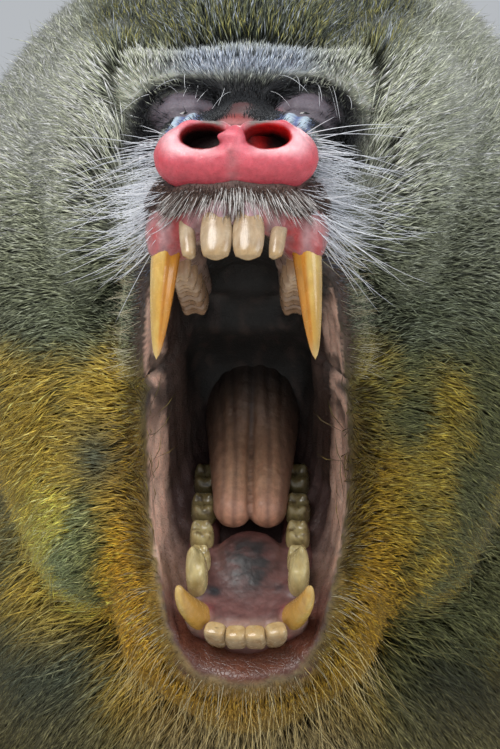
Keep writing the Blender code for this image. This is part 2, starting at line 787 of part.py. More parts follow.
FINISHES = {  # base colour and roughness, by how the name starts
    "nose": ((0.55, 0.17, 0.17), 0.45),
    "eye": ((0.22, 0.17, 0.19), 0.55),
    "ear": ((0.36, 0.22, 0.19), 0.6),
    "upper_teeth": ((0.72, 0.58, 0.32), 0.3),
    "lower_teeth": ((0.72, 0.58, 0.32), 0.3),
    "tongue": ((0.36, 0.16, 0.14), 0.4),
    "hand": ((0.05, 0.045, 0.045), 0.6),
    "foot": ((0.05, 0.045, 0.045), 0.6),
    "rump": ((0.24, 0.16, 0.16), 0.7),
    "": ((0.15, 0.12, 0.06), 0.85),
}
whole = bpy.data.collections.new("mandrill")
bpy.context.scene.collection.children.link(whole)
for obj in list(bpy.data.objects):
    merge_flats(obj)
    colour, rough = next(v for k, v in FINISHES.items() if obj.name.startswith(k))
    finish = bpy.data.materials.new(obj.name)
    finish.use_nodes = True
    shader = finish.node_tree.nodes["Principled BSDF"]
    shader.inputs["Base Color"].default_value = (*colour, 1)
    shader.inputs["Roughness"].default_value = rough
    shader.inputs["Metallic"].default_value = 0.0
    obj.data.materials.clear()
    obj.data.materials.append(finish)
    obj.data.shade_smooth()
    obj.data.set_sharp_from_angle(angle=math.radians(40))
    for holder in list(obj.users_collection):
        holder.objects.unlink(obj)
    whole.objects.link(obj)
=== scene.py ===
"""The looks of a life-size standing mandrill, yawning with the eyes shut.

Lengths are millimetres until mesh() writes metres. The nose points to -Y, the feet stand on z = 0 and +X is the
animal's own left. Three sets of axes are used: W for the body, H for the skull and J for the lower jaw.
"""

import math
from concurrent.futures import ThreadPoolExecutor

import bpy
import numpy as np
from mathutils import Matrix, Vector

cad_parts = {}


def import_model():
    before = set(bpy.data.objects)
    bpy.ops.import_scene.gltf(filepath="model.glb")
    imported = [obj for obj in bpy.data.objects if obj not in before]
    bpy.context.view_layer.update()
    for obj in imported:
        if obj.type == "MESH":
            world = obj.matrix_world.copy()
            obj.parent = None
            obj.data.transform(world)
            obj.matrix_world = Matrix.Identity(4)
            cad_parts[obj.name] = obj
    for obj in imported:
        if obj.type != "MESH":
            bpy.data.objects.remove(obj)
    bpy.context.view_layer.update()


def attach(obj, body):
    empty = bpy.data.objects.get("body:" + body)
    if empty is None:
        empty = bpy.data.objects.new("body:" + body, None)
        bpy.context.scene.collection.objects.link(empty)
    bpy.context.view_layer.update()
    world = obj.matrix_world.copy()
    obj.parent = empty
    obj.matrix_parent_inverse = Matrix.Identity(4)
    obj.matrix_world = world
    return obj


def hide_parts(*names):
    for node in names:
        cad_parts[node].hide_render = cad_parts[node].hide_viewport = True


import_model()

SHIFT = 65.8
JOINT = (330.0, 700.0)
SCALE = 0.975
PITCH = math.radians(15)
GAPE = math.radians(-50)

# ---------------------------------------------------------------- frames


def world(p):
    return np.array([p[0], SHIFT - p[1], p[2]], float)


def turn(angle, f, u):
    return f * math.cos(angle) - u * math.sin(angle), f * math.sin(angle) + u * math.cos(angle)


def skull(p):
    f, u = turn(PITCH, p[1], p[2])
    return world((p[0] * SCALE, JOINT[0] + f * SCALE, JOINT[1] + u * SCALE))


def jaw(p):
    f, u = turn(GAPE, p[1], p[2])
    return world((p[0] * SCALE, JOINT[0] + (f + 10) * SCALE, JOINT[1] + (u - 8) * SCALE))


FRAMES = {"W": (world, 0.0, 1.0), "H": (skull, PITCH, SCALE), "J": (jaw, GAPE, SCALE)}


def local(p, name):
    """Points in the skull's or the jaw's own lengths: across, forward, up."""
    place, angle, scale = FRAMES[name]
    q = (p - place((0, 0, 0))) / scale
    f, u = turn(-angle, -q[..., 1], q[..., 2])
    return q[..., 0], f, u


def heading(name, x, f, u):
    """A direction given in a frame, in world axes."""
    _, angle, _ = FRAMES[name]
    f, u = turn(angle, f, u)
    return np.stack(np.broadcast_arrays(x, -f, u), -1)


# ---------------------------------------------------------------- forms


def ellipsoid(p, name, centre, radii, grow, tilt=0.0):
    place, angle, scale = FRAMES[name]
    a = angle + math.radians(tilt)
    q = p - place(centre)
    f, u = turn(-a, -q[..., 1], q[..., 2])
    q = np.stack([q[..., 0], f, u], -1)
    r = np.array(radii) * scale + grow
    k0 = np.linalg.norm(q / r, axis=-1)
    k1 = np.linalg.norm(q / r**2, axis=-1) + 1e-9
    return k0 * (k0 - 1) / k1


def cone(p, name, a, ra, b, rb, grow):
    place, _, scale = FRAMES[name]
    a, b = place(a), place(b)
    ra, rb = ra * scale + grow, rb * scale + grow
    ba = b - a
    length2 = ba @ ba
    rr = ra - rb
    a2 = length2 - rr * rr
    pa = p - a
    y = pa @ ba
    z = y - length2
    x2 = ((pa * length2 - y[..., None] * ba) ** 2).sum(-1)
    y2, z2 = y * y * length2, z * z * length2
    k = np.sign(rr) * rr * rr * x2
    side = (np.sqrt(x2 * a2 / length2) + y * rr) / length2 - ra
    near_b = np.sqrt(x2 + z2) / length2 - rb
    near_a = np.sqrt(x2 + y2) / length2 - ra
    return np.where(np.sign(z) * a2 * z2 > k, near_b, np.where(np.sign(y) * a2 * y2 < k, near_a, side))


def blend(a, b, k):
    h = np.maximum(k - np.abs(a - b), 0) / k
    return np.minimum(a, b) - h * h * k / 4


def carve(a, b, k):
    return -blend(-a, b, k)


# Each form: kind, frame, sizes, coat out to the tips, coat over the skin, width of its blend.
HEAD_FORMS = [
    ("e", "H", (0, 2, 30), (60, 74, 52), 16, 14, 18),  # braincase
    ("e", "H", (0, -8, 52), (36, 60, 42), 27, 25, 18),  # crest
    ("e", "H", (0, -45, 34), (66, 50, 60), 42, 38, 22),  # occiput and nape
    ("c", "H", (0, 82, 46), 13, (39, 78, 44), 13, 4, 3.4, 8),  # brow
    ("e", "H", (45, 38, 30), (22, 40, 32), 14, 12, 14),  # temple
    ("e", "H", (50, 48, -8), (22, 36, 26), 13, 11, 12),  # cheekbone
    ("e", "H", (50, 8, -45), (21, 32, 44), 17, 15, 16),  # jaw muscle
    ("e", "H", (70, -15, -18), (34, 42, 78), 20, 18, 22),  # side whiskers
    ("c", "H", (0, 74, -2), 38, (0, 137, -15), 27, 3, 2.2, 12),  # muzzle
    ("c", "H", (0, 80, 32), 11, (0, 152, 3), 9, 1, 0.8, 8),  # nasal bridge
    ("c", "H", (21, 82, 22), 14, (20, 143, 1), 12, 1, 0.8, 7),  # paranasal ridge
    ("c", "H", (26, 112, -26), 12, (23, 146, -24), 11, 3, 1.8, 8),  # upper lip
    ("c", "H", (35, 108, -36), 8, (39, 66, -64), 9, 4, 1.6, 8),  # cheek, upper part
]
JAW_FORMS = [
    ("c", "J", (35, 106, -56), 8, (39, 60, -36), 9, 4, 1.6, 8),  # cheek, lower part
    ("e", "J", (0, 146, -72), (27, 22, 19), 10, 5.5, 10),  # chin
    ("c", "J", (26, 138, -70), 15, (44, 20, -58), 22, 14, 12, 12),  # jaw body
    ("e", "J", (0, 96, -84), (34, 62, 26), 20, 18, 16),  # floor and beard
    ("e", "J", (0, 40, -92), (48, 60, 34), 26, 24, 20),  # throat
    ("e", "J", (58, 48, -66), (26, 52, 34), 20, 18, 18),  # jowl whiskers
]
BODY_FORMS = [
    ("c", "W", (0, 185, 520), 86, (0, 286, 640), 72, 34, 34, 40),  # neck
    ("e", "W", (0, 110, 455), (100, 150, 118), 24, 24, 40),  # ribs
    ("e", "W", (0, 172, 500), (92, 98, 88), 34, 34, 40),  # withers
    ("e", "W", (0, 236, 556), (88, 74, 92), 36, 36, 40),  # mane
    ("e", "W", (0, 214, 432), (70, 66, 88), 28, 28, 40),  # breast
    ("e", "W", (0, -60, 440), (88, 170, 98), 18, 18, 40),  # belly
    ("e", "W", (0, -232, 462), (88, 105, 92), 16, 15, 40),  # pelvis
    ("c", "W", (0, -318, 500), 22, (0, -346, 574), 12, 12, 11, 16),  # tail
    ("e", "W", (30, -318, 428), (32, 26, 44), 5, 1.5, 14),  # rump pad
]
EAR_HOLLOW = ((120, -50, 38), (30, 30, 32))
STRIDE = {1: (26.0, -18.0), -1: (-14.0, 30.0)}


def limb_forms(s):
    a, h = STRIDE[s]
    fore = [
        ("c", "W", (s * 86, 205, 442), 50, (s * 99, 142 + a * 0.4, 306), 37, 18, 17, 34),
        ("e", "W", (s * 90, 162, 402), (40, 62, 84), 16, 15, 30),
        ("c", "W", (s * 99, 142 + a * 0.4, 306), 36, (s * 100, 150 + a, 84), 20, 10, 9, 24),
        ("e", "W", (s * 100, 148 + a * 0.55, 248), (33, 40, 62), 10, 9, 20),
    ]
    hind = [
        ("c", "W", (s * 72, -232, 440), 82, (s * 94, -156 + h * 0.45, 292), 45, 16, 15, 34),
        ("c", "W", (s * 94, -156 + h * 0.45, 292), 42, (s * 90, -264 + h, 82), 20, 9, 8, 24),
        ("e", "W", (s * 92, -204 + h * 0.7, 216), (32, 42, 62), 9, 8, 20),
    ]
    return fore, hind


HAND_TIPS = ((-21, 46), (-7.5, 54), (7.5, 55), (21, 47))
FOOT_TIPS = ((-21, 52), (-7, 60), (7, 58), (21, 50))


def hand_forms(s):
    a = STRIDE[s][0]
    forms = [
        ("c", "W", (s * 100, 151 + a, 86), 19.5, (s * 101, 186 + a, 34), 16, 4, 3, 8),
        ("e", "W", (s * 101, 180 + a, 38), (29, 20, 20), 2, 1.5, 10),
        ("c", "W", (s * 78, 160 + a, 46), 9, (s * 70, 178 + a, 22), 8, 1, 0.8, 6),
        ("c", "W", (s * 70, 178 + a, 22), 7.5, (s * 68, 196 + a, 7), 7, 1, 0.6, 3),
    ]
    for dx, reach in HAND_TIPS:
        x, f = s * 101 + dx, 190 + a
        forms += [
            ("c", "W", (x, f, 27), 9, (x + dx * 0.15, f + 21, 23), 8, 1, 0.7, 4),
            ("c", "W", (x + dx * 0.15, f + 21, 23), 8, (x + dx * 0.3, f + reach - 12, 8), 7, 1, 0.7, 3),
            ("c", "W", (x + dx * 0.3, f + reach - 12, 8), 7, (x + dx * 0.33, f + reach, 6), 6.5, 1, 0.6, 3),
        ]
    return forms


def foot_forms(s):
    h = STRIDE[s][1]
    forms = [
        ("c", "W", (s * 90, -264 + h, 84), 20, (s * 90, -274 + h, 32), 19, 4, 3, 8),
        ("c", "W", (s * 90, -282 + h, 19), 19, (s * 92, -192 + h, 17.5), 18, 3, 2, 10),
        ("e", "W", (s * 93, -196 + h, 16.5), (30, 26, 18), 2, 1.5, 10),
        ("c", "W", (s * 70, -222 + h, 18), 11, (s * 58, -196 + h, 12), 9, 1, 0.8, 5),
        ("c", "W", (s * 58, -196 + h, 12), 8.5, (s * 52, -174 + h, 6.5), 7.5, 1, 0.6, 3),
    ]
    for dx, reach in FOOT_TIPS:
        x, f = s * 94 + dx, -186 + h
        forms += [
            ("c", "W", (x, f, 19), 10, (x + dx * 0.15, f + 26, 19), 8.5, 1, 0.7, 4),
            ("c", "W", (x + dx * 0.15, f + 26, 19), 8.5, (x + dx * 0.3, f + reach - 10, 8), 7.5, 1, 0.7, 3),
            ("c", "W", (x + dx * 0.3, f + reach - 10, 8), 7.5, (x + dx * 0.33, f + reach, 6.5), 7, 1, 0.6, 3),
        ]
    return forms


REACH = 45.0


def union(p, forms, skin, start=None):
    """The forms blended into one. A form too far from all the points to matter is left out."""
    flat = p.reshape(-1, 3)
    low, high = flat.min(0), flat.max(0)
    d = start
    for kind, name, *sizes in forms:
        *sizes, coat, under, k = sizes
        place, _, scale = FRAMES[name]
        if kind == "e":
            middle, reach = place(sizes[0]), max(sizes[1]) * scale
        else:
            a, b = place(sizes[0]), place(sizes[2])
            middle, reach = (a + b) / 2, np.linalg.norm(b - a) / 2 + max(sizes[1], sizes[3]) * scale
        if np.linalg.norm(np.maximum(0, np.maximum(low - middle, middle - high))) > reach + coat + REACH:
            continue
        one = (ellipsoid if kind == "e" else cone)(p, name, *sizes, coat - (under if skin else 0))
        d = one if d is None else blend(d, one, k)
    return np.full(p.shape[:-1], 60.0) if d is None else d


def mirrored(p):
    return np.stack([np.abs(p[..., 0]), p[..., 1], p[..., 2]], -1)


def plane(p, name, point, lean):
    place, angle, _ = FRAMES[name]
    q = p - place(point)
    return turn(-angle - math.radians(lean), -q[..., 1], q[..., 2])[1]


LIP_UP = (-165, -122, -100, -75, -60, -44, -7)
LIP_FORWARD = (74, 47, 42, 50, 64, 88, 120)
LIP_HALF = (28, 37, 39.5, 40, 40, 39, 36)


def mouth(p):
    """The open mouth: between the upper and the lower lip, inside the cheeks."""
    above_floor = plane(p, "J", (0, 130, -61), 0)
    below_roof = -plane(p, "H", (0, 150, -38), 3)
    forward = -(p[..., 1] - skull((0, 4, 0))[1])
    up = p[..., 2] - JOINT[1]
    margin = np.interp(up, LIP_UP, LIP_FORWARD)
    inward = np.maximum(margin - (SHIFT - JOINT[0] - p[..., 1]), 0)
    half = np.interp(up, LIP_UP, LIP_HALF)
    width = np.maximum(half - 0.4 * inward, half * 0.67)
    d = np.maximum(-above_floor, -below_roof)
    d = -blend(-d, -(np.abs(p[..., 0]) - width), 12)
    return -blend(-d, forward, 24)


def inside_mouth(p):
    vault = cone(p, "H", (0, 140, -42), 15, (0, 60, -44), 22, 0)
    bowl = cone(p, "J", (0, 142, -56), 13, (0, 62, -46), 24, 0)
    return blend(mouth(p), blend(vault, bowl, 10), 8)


EYE = ("H", (25, 83, 32), (13.5, 12, 11))


CHEEK_FORMS = [  # the upper lip's front, and flesh that joins cheeks and temples to the face under the coat
    ("c", "H", (0, 163.0, -23.0), 7.2, (16, 159.5, -24.0), 7.2, 0, 0, 4),
    ("c", "H", (16, 159.5, -24.0), 7.2, (27.5, 147.5, -29), 8.4, 0, 0, 4),
    ("c", "H", (37, 100, -40), 6.5, (42, 52, -44), 13, 0, 0, 8),
    ("c", "H", (39, 74, -58), 6.5, (44, 36, -50), 13, 0, 0, 8),
    ("e", "H", (0, 80, -26), (32, 40, 22), 0, 0, 8),
    ("c", "H", (50, 66, 44), 13, (52, 64, 6), 14, 0, 0, 12),
    ("c", "J", (38, 70, -44), 6.0, (44, 40, -30), 12, 0, 0, 8),
]


def head_solid(q, skin):
    d = union(q, JAW_FORMS, skin, union(q, HEAD_FORMS, skin))
    if not skin:
        return d
    d = union(q, CHEEK_FORMS, True, d)
    # the coat is plush on the face and longer on the nape, and short beside the mouth, so that lips and cheeks join the face
    x, forward, z = q[..., 0], SHIFT - q[..., 1], q[..., 2]
    most = 11 + 34 * smooth(235, 170, forward) + 5 * smooth(640, 590, z)
    most = most - 7 * smooth(36, 60, x) * smooth(700, 738, z) * smooth(205, 240, forward)
    outer = union(q, JAW_FORMS, False, union(q, HEAD_FORMS, False))
    return blend(d, outer + np.minimum(most, 1.5 + 0.26 * np.maximum(inside_mouth(q), 0)), 4)


def body_solid(p, q, skin, start=None):
    d = union(q, BODY_FORMS, skin, start)
    for s in (1, -1):
        fore, hind = limb_forms(s)
        d = union(p, fore + hand_forms(s), skin, d)
        d = union(p, hind + foot_forms(s), skin, d)
    return d


def outline(p):
    """The outline out to the tips of the coat."""
    q = mirrored(p)
    return body_solid(p, q, False, head_solid(q, False))


def whole(p, skin=True):
    """The skin of head, trunk and limbs in one."""
    q = mirrored(p)
    d = body_solid(p, q, skin)
    head = (SHIFT - p[..., 1] > 165) & (p[..., 2] > 470)
    if head.any():
        ph, qh = p[head], q[head]
        d[head] = carved(ph, qh, blend(head_solid(qh, skin), d[head], 30), skin)
    return d


def carved(p, q, d, skin):
    """Sockets, ears' places and the mouth are cut into the head, and the shut lids laid in the sockets."""
    d = carve(d, ellipsoid(q, "H", (26, 88, 33), (15, 12, 12), 0), 8)
    d = carve(d, ellipsoid(q, "H", *EAR_HOLLOW, -10 if skin else 0), 10)
    if skin:
        d = blend(d, ellipsoid(q, *EYE, 0.3), 5)
    return carve(d, inside_mouth(p), 5 if skin else 3)


POOL = ThreadPoolExecutor(4)


def spread(field, p, size=12000, cell=56.0):
    """The field at many points, in chunks of points that lie near one another."""
    shape = p.shape[:-1]
    p = p.reshape(-1, 3)
    if not len(p):
        return np.zeros(shape)
    at = np.floor(p / cell).astype(np.int64) + 100
    order = np.argsort((at[:, 2] * 300 + at[:, 1]) * 300 + at[:, 0], kind="stable")
    parts = [order[i : i + size] for i in range(0, len(p), size)]
    first = np.asarray(field(p[parts[0]]), float)
    out = np.empty((len(p), *first.shape[1:]))
    out[parts[0]] = first

    def work(part):
        out[part] = field(p[part])

    list(POOL.map(work, parts[1:]))
    return out.reshape(*shape, *first.shape[1:])


def steps(*runs):
    """Grid lines: each run is (start, end, step)."""
    out = [np.arange(a, b, s, float) for a, b, s in runs]
    return np.concatenate([*out, [float(runs[-1][1])]])


def sample(field, ax, block=6):
    """The field on a grid, worked out only in the blocks that its surface passes."""
    n = [len(a) for a in ax]
    at = [np.unique(np.append(np.arange(0, k, block), k - 1)) for k in n]
    rough = spread(field, np.stack(np.meshgrid(*[a[i] for a, i in zip(ax, at)], indexing="ij"), -1))
    nb = [len(i) - 1 for i in at]
    corners = np.stack([rough[i : nb[0] + i, j : nb[1] + j, k : nb[2] + k] for i in (0, 1) for j in (0, 1) for k in (0, 1)])
    size = [np.diff(a[i]) for a, i in zip(ax, at)]
    diagonal = np.sqrt(size[0][:, None, None] ** 2 + size[1][None, :, None] ** 2 + size[2][None, None, :] ** 2)
    near = (np.abs(corners).min(0) < 0.72 * diagonal) | ((corners < 0).any(0) & (corners >= 0).any(0))
    block_of = [np.minimum(np.arange(k) // block, b - 1) for k, b in zip(n, nb)]
    wanted = near[np.ix_(*block_of)]
    for m in range(3):  # a block's far side belongs to it too
        edge = [slice(None)] * 3
        edge[m] = at[m][1:-1]
        before = [slice(None)] * 3
        before[m] = at[m][1:-1] - 1
        wanted[tuple(edge)] |= wanted[tuple(before)]
    d = np.where(corners[0] > 0, 50.0, -50.0)[np.ix_(*block_of)].astype(np.float32)
    where = np.argwhere(wanted)
    d[tuple(where.T)] = spread(field, np.stack([a[where[:, m]] for m, a in enumerate(ax)], -1))
    return d


def nets(field, *ax):
    """A closed surface where the field is zero, as points and four-sided faces."""
    d = sample(field, ax)
    for m in range(3):
        for end in (0, -1):
            part = [slice(None)] * 3
            part[m] = end
            d[tuple(part)] = np.maximum(d[tuple(part)], 0.5)
    inside = d < 0
    n = np.array(d.shape) - 1
    views = [(slice(i, n[0] + i), slice(j, n[1] + j), slice(k, n[2] + k)) for i in (0, 1) for j in (0, 1) for k in (0, 1)]
    some, every = np.zeros(n, bool), np.ones(n, bool)
    for v in views:
        some |= inside[v]
        every &= inside[v]
    where = np.argwhere(some & ~every)
    index = np.full(n, -1, np.int64)
    index[tuple(where.T)] = np.arange(len(where))
    value = {c: d[tuple((where + c).T)].astype(float) for c in [(i, j, k) for i in (0, 1) for j in (0, 1) for k in (0, 1)]}
    total, count = np.zeros((len(where), 3)), np.zeros(len(where))
    for m in range(3):
        for c in value:
            if c[m]:
                continue
            e = tuple(1 if k == m else c[k] for k in range(3))
            a, b = value[c], value[e]
            hit = (a < 0) != (b < 0)
            t = np.where(hit, a / np.where(hit, a - b, 1), 0)
            step = np.tile(np.array(c, float), (len(where), 1))
            step[:, m] = t
            total += step * hit[:, None]
            count += hit
    share = total / count[:, None]
    points = np.stack([ax[m][where[:, m]] + share[:, m] * (ax[m][where[:, m] + 1] - ax[m][where[:, m]]) for m in range(3)], 1)
    faces = []
    for m in range(3):
        lo, hi = [slice(None)] * 3, [slice(None)] * 3
        lo[m], hi[m] = slice(0, -1), slice(1, None)
        at = np.argwhere(inside[tuple(lo)] != inside[tuple(hi)])
        j, k = (m + 1) % 3, (m + 2) % 3
        at = at[(at[:, j] > 0) & (at[:, k] > 0) & (at[:, j] < n[j]) & (at[:, k] < n[k])]
        corners = []
        for dj, dk in ((-1, -1), (0, -1), (0, 0), (-1, 0)):
            c = at.copy()
            c[:, j] += dj
            c[:, k] += dk
            corners.append(index[tuple(c.T)])
        quads = np.stack(corners, 1)
        flip = ~inside[tuple(at.T)]
        quads[flip] = quads[flip][:, ::-1]
        faces.append(quads)
    return points, np.concatenate(faces)


CORNERS = np.array([(1, 1, 1), (1, -1, -1), (-1, 1, -1), (-1, -1, 1)], float)


def slope(field, p, step=0.3):
    """Which way the field grows, and its value, from four points round each."""
    values = spread(field, p[:, None, :] + step * CORNERS)
    return np.einsum("ij,jk->ik", values, CORNERS) / (4 * step), values.mean(1)


def unit(v):
    return v / np.maximum(np.linalg.norm(v, axis=-1, keepdims=True), 1e-9)


def settle(field, p, rounds=2, most=1.5):
    """Moves points onto the surface; gives them and their normals."""
    for _ in range(rounds):
        g, d = slope(field, p)
        move = -(d / np.maximum((g * g).sum(-1), 0.2))[:, None] * g
        long = np.linalg.norm(move, axis=-1, keepdims=True)
        p = p + move * np.minimum(1, most / np.maximum(long, 1e-9))
    return p, unit(g)


# ---------------------------------------------------------------- noise and ramps


def smooth(a, b, x):
    t = np.clip((x - a) / (b - a), 0, 1)
    return t * t * (3 - 2 * t)


def hump(x, centre, half):
    """One at the centre, falling to nothing at the half-width."""
    t = np.clip(1 - np.abs(x - centre) / half, 0, 1)
    return t * t * (3 - 2 * t)


def ripple(p, size, seed):
    """Soft noise about -1 to 1, from waves in turned directions."""
    g = np.random.default_rng(seed)
    out = 0.0
    for octave, weight in ((1.0, 0.55), (2.1, 0.3), (4.3, 0.15)):
        for _ in range(4):
            w = unit(g.normal(size=3)) * 2 * math.pi / size * octave * g.uniform(0.7, 1.3)
            v = unit(g.normal(size=3)) * 2 * math.pi / size * octave * 0.6
            out = out + weight * 0.5 * np.sin(p @ w + 1.7 * np.sin(p @ v + g.uniform(0, 6)) + g.uniform(0, 6))
    return out


def mix(a, b, t):
    a, b = np.asarray(a, float), np.asarray(b, float)
    return a + (b - a) * np.asarray(t)[..., None]


# ---------------------------------------------------------------- meshes and materials


def mesh(name, points, faces, attributes=(), soft=True, sizes=None):
    """A mesh object from arrays. All faces have the same number of corners."""
    faces = np.asarray(faces)
    data = bpy.data.meshes.new(name)
    data.vertices.add(len(points))
    data.vertices.foreach_set("co", (np.asarray(points) / 1000).astype(np.float32).ravel())
    data.loops.add(faces.size)
    data.loops.foreach_set("vertex_index", faces.astype(np.int32).ravel())
    data.polygons.add(len(faces))
    data.polygons.foreach_set("loop_start", np.arange(0, faces.size, faces.shape[1], dtype=np.int32))
    data.update(calc_edges=True)
    data.polygons.foreach_set("use_smooth", np.full(len(faces), soft))
    for key, values in attributes:
        kind = "FLOAT" if values.ndim == 1 else "FLOAT_COLOR"
        layer = data.attributes.new(key, kind, "POINT")
        if kind == "FLOAT":
            layer.data.foreach_set("value", values.astype(np.float32))
        else:
            layer.data.foreach_set("color", np.concatenate([values, np.ones((len(values), 1))], 1).astype(np.float32).ravel())
    obj = bpy.data.objects.new(name, data)
    bpy.context.scene.collection.objects.link(obj)
    return obj


def ramp(nodes, stops):
    node = nodes.new("ShaderNodeValToRGB")
    for i, (at, colour) in enumerate(stops):
        stop = node.color_ramp.elements[i] if i < 2 else node.color_ramp.elements.new(at)
        stop.position, stop.color = at, (*colour, 1) if len(colour) == 3 else colour
    return node


class Finish:
    """A Principled material and shorthand for its nodes."""

    def __init__(self, name, **values):
        self.material = bpy.data.materials.new(name)
        self.material.use_nodes = True
        self.tree = self.material.node_tree
        self.shader = self.tree.nodes["Principled BSDF"]
        for key, value in values.items():
            self.shader.inputs[key.replace("_", " ")].default_value = value

    def node(self, kind, **values):
        node = self.tree.nodes.new(kind)
        for key, value in values.items():
            if key in node.inputs:
                node.inputs[key].default_value = value
            else:
                setattr(node, key, value)
        return node

    def link(self, a, b):
        self.tree.links.new(a, b)
        return b

    def attribute(self, name):
        return self.node("ShaderNodeAttribute", attribute_name=name)

    def noise(self, scale, detail=4.0, rough=0.55, stretch=None):
        place = self.node("ShaderNodeTexCoord")
        made = self.node("ShaderNodeTexNoise")
        made.inputs["Scale"].default_value = scale
        made.inputs["Detail"].default_value = detail
        made.inputs["Roughness"].default_value = rough
        source = place.outputs["Object"]
        if stretch:
            fit = self.node("ShaderNodeMapping")
            fit.inputs["Scale"].default_value = stretch
            self.link(source, fit.inputs["Vector"])
            source = fit.outputs["Vector"]
        self.link(source, made.inputs["Vector"])
        return made.outputs["Fac"]

    def math(self, operation, a, b=None):
        node = self.node("ShaderNodeMath", operation=operation)
        for i, v in enumerate((a, b)):
            if v is None:
                continue
            if isinstance(v, (int, float)):
                node.inputs[i].default_value = v
            else:
                self.link(v, node.inputs[i])
        return node.outputs[0]

    def range(self, value, a, b, c, d):
        node = self.node("ShaderNodeMapRange")
        for i, v in enumerate((a, b, c, d)):
            node.inputs[i + 1].default_value = v
        self.link(value, node.inputs[0])
        return node.outputs[0]

    def blend(self, kind, fac, a, b):
        node = self.node("ShaderNodeMix", data_type="RGBA", blend_type=kind)
        for socket, v in ((node.inputs[0], fac), (node.inputs[6], a), (node.inputs[7], b)):
            if isinstance(v, (int, float)):
                socket.default_value = v
            elif isinstance(v, tuple):
                socket.default_value = (*v, 1)
            else:
                self.link(v, socket)
        return node.outputs[2]

    def bump(self, height, strength, distance):
        node = self.node("ShaderNodeBump")
        node.inputs["Strength"].default_value = strength
        node.inputs["Distance"].default_value = distance
        self.link(height, node.inputs["Height"])
        self.link(node.outputs["Normal"], self.shader.inputs["Normal"])

    def base(self, colour):
        self.link(colour, self.shader.inputs["Base Color"])


def show(obj, finish, slot, *nodes):
    obj.data.materials.append(finish.material)
    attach(obj, "root")
    if nodes:
        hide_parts(*nodes)
    return obj


# ---------------------------------------------------------------- skin

EAR_SKIN = [
    ("e", "H", (99, -53, 40), (6.6, 16.6, 23.6), 0, 0, 6),
    ("c", "H", (58, -42, 22), 13, (92, -48, 33), 9, 0, 0, 9),
]


def ear_field(side):
    def field(p):
        q = np.stack([p[..., 0] * side, p[..., 1], p[..., 2]], -1)
        d = union(q, EAR_SKIN, True)
        d = carve(d, ellipsoid(q, "H", (107.5, -50, 42), (8.5, 12.5, 18.5), 0), 4)
        return carve(d, ellipsoid(q, "H", (97, -44, 33), (9, 5, 6), 0), 4)

    return field


def skin_field(p):
    return np.maximum(whole(p), 0.2 - p[..., 2])


def shape_skin():
    half = steps((0, 46, 2.0), (46, 140, 4.0), (140, 176, 6))
    x = np.concatenate([-half[:0:-1], half])
    y = steps((-444, -318, 2.0), (-318, -262, 3.2), (-262, -60, 5), (-60, 150, 9), (150, 300, 5.4), (300, 438, 9))
    z = steps((-3, 60, 3.0), (60, 110, 6), (110, 480, 10), (480, 520, 5), (520, 740, 2.6), (740, 776, 1.75), (776, 852, 4))
    points, faces = nets(skin_field, x, y, z)
    points, normals = settle(skin_field, points)
    points[:, 2] = np.maximum(points[:, 2], 0.2)
    all_points, all_faces, all_normals = [points], [faces], [normals]
    for side in (1, -1):
        c = skull((side * 80, -48, 36))
        field = ear_field(side)
        ax = [steps((c[m] - r, c[m] + r, 1.7)) for m, r in enumerate((34, 30, 36))]
        p, f = nets(field, *ax)
        p, n = settle(field, p)
        all_faces.append(f + sum(len(a) for a in all_points))
        all_points.append(p)
        all_normals.append(n)
    return np.concatenate(all_points), np.concatenate(all_faces), np.concatenate(all_normals)


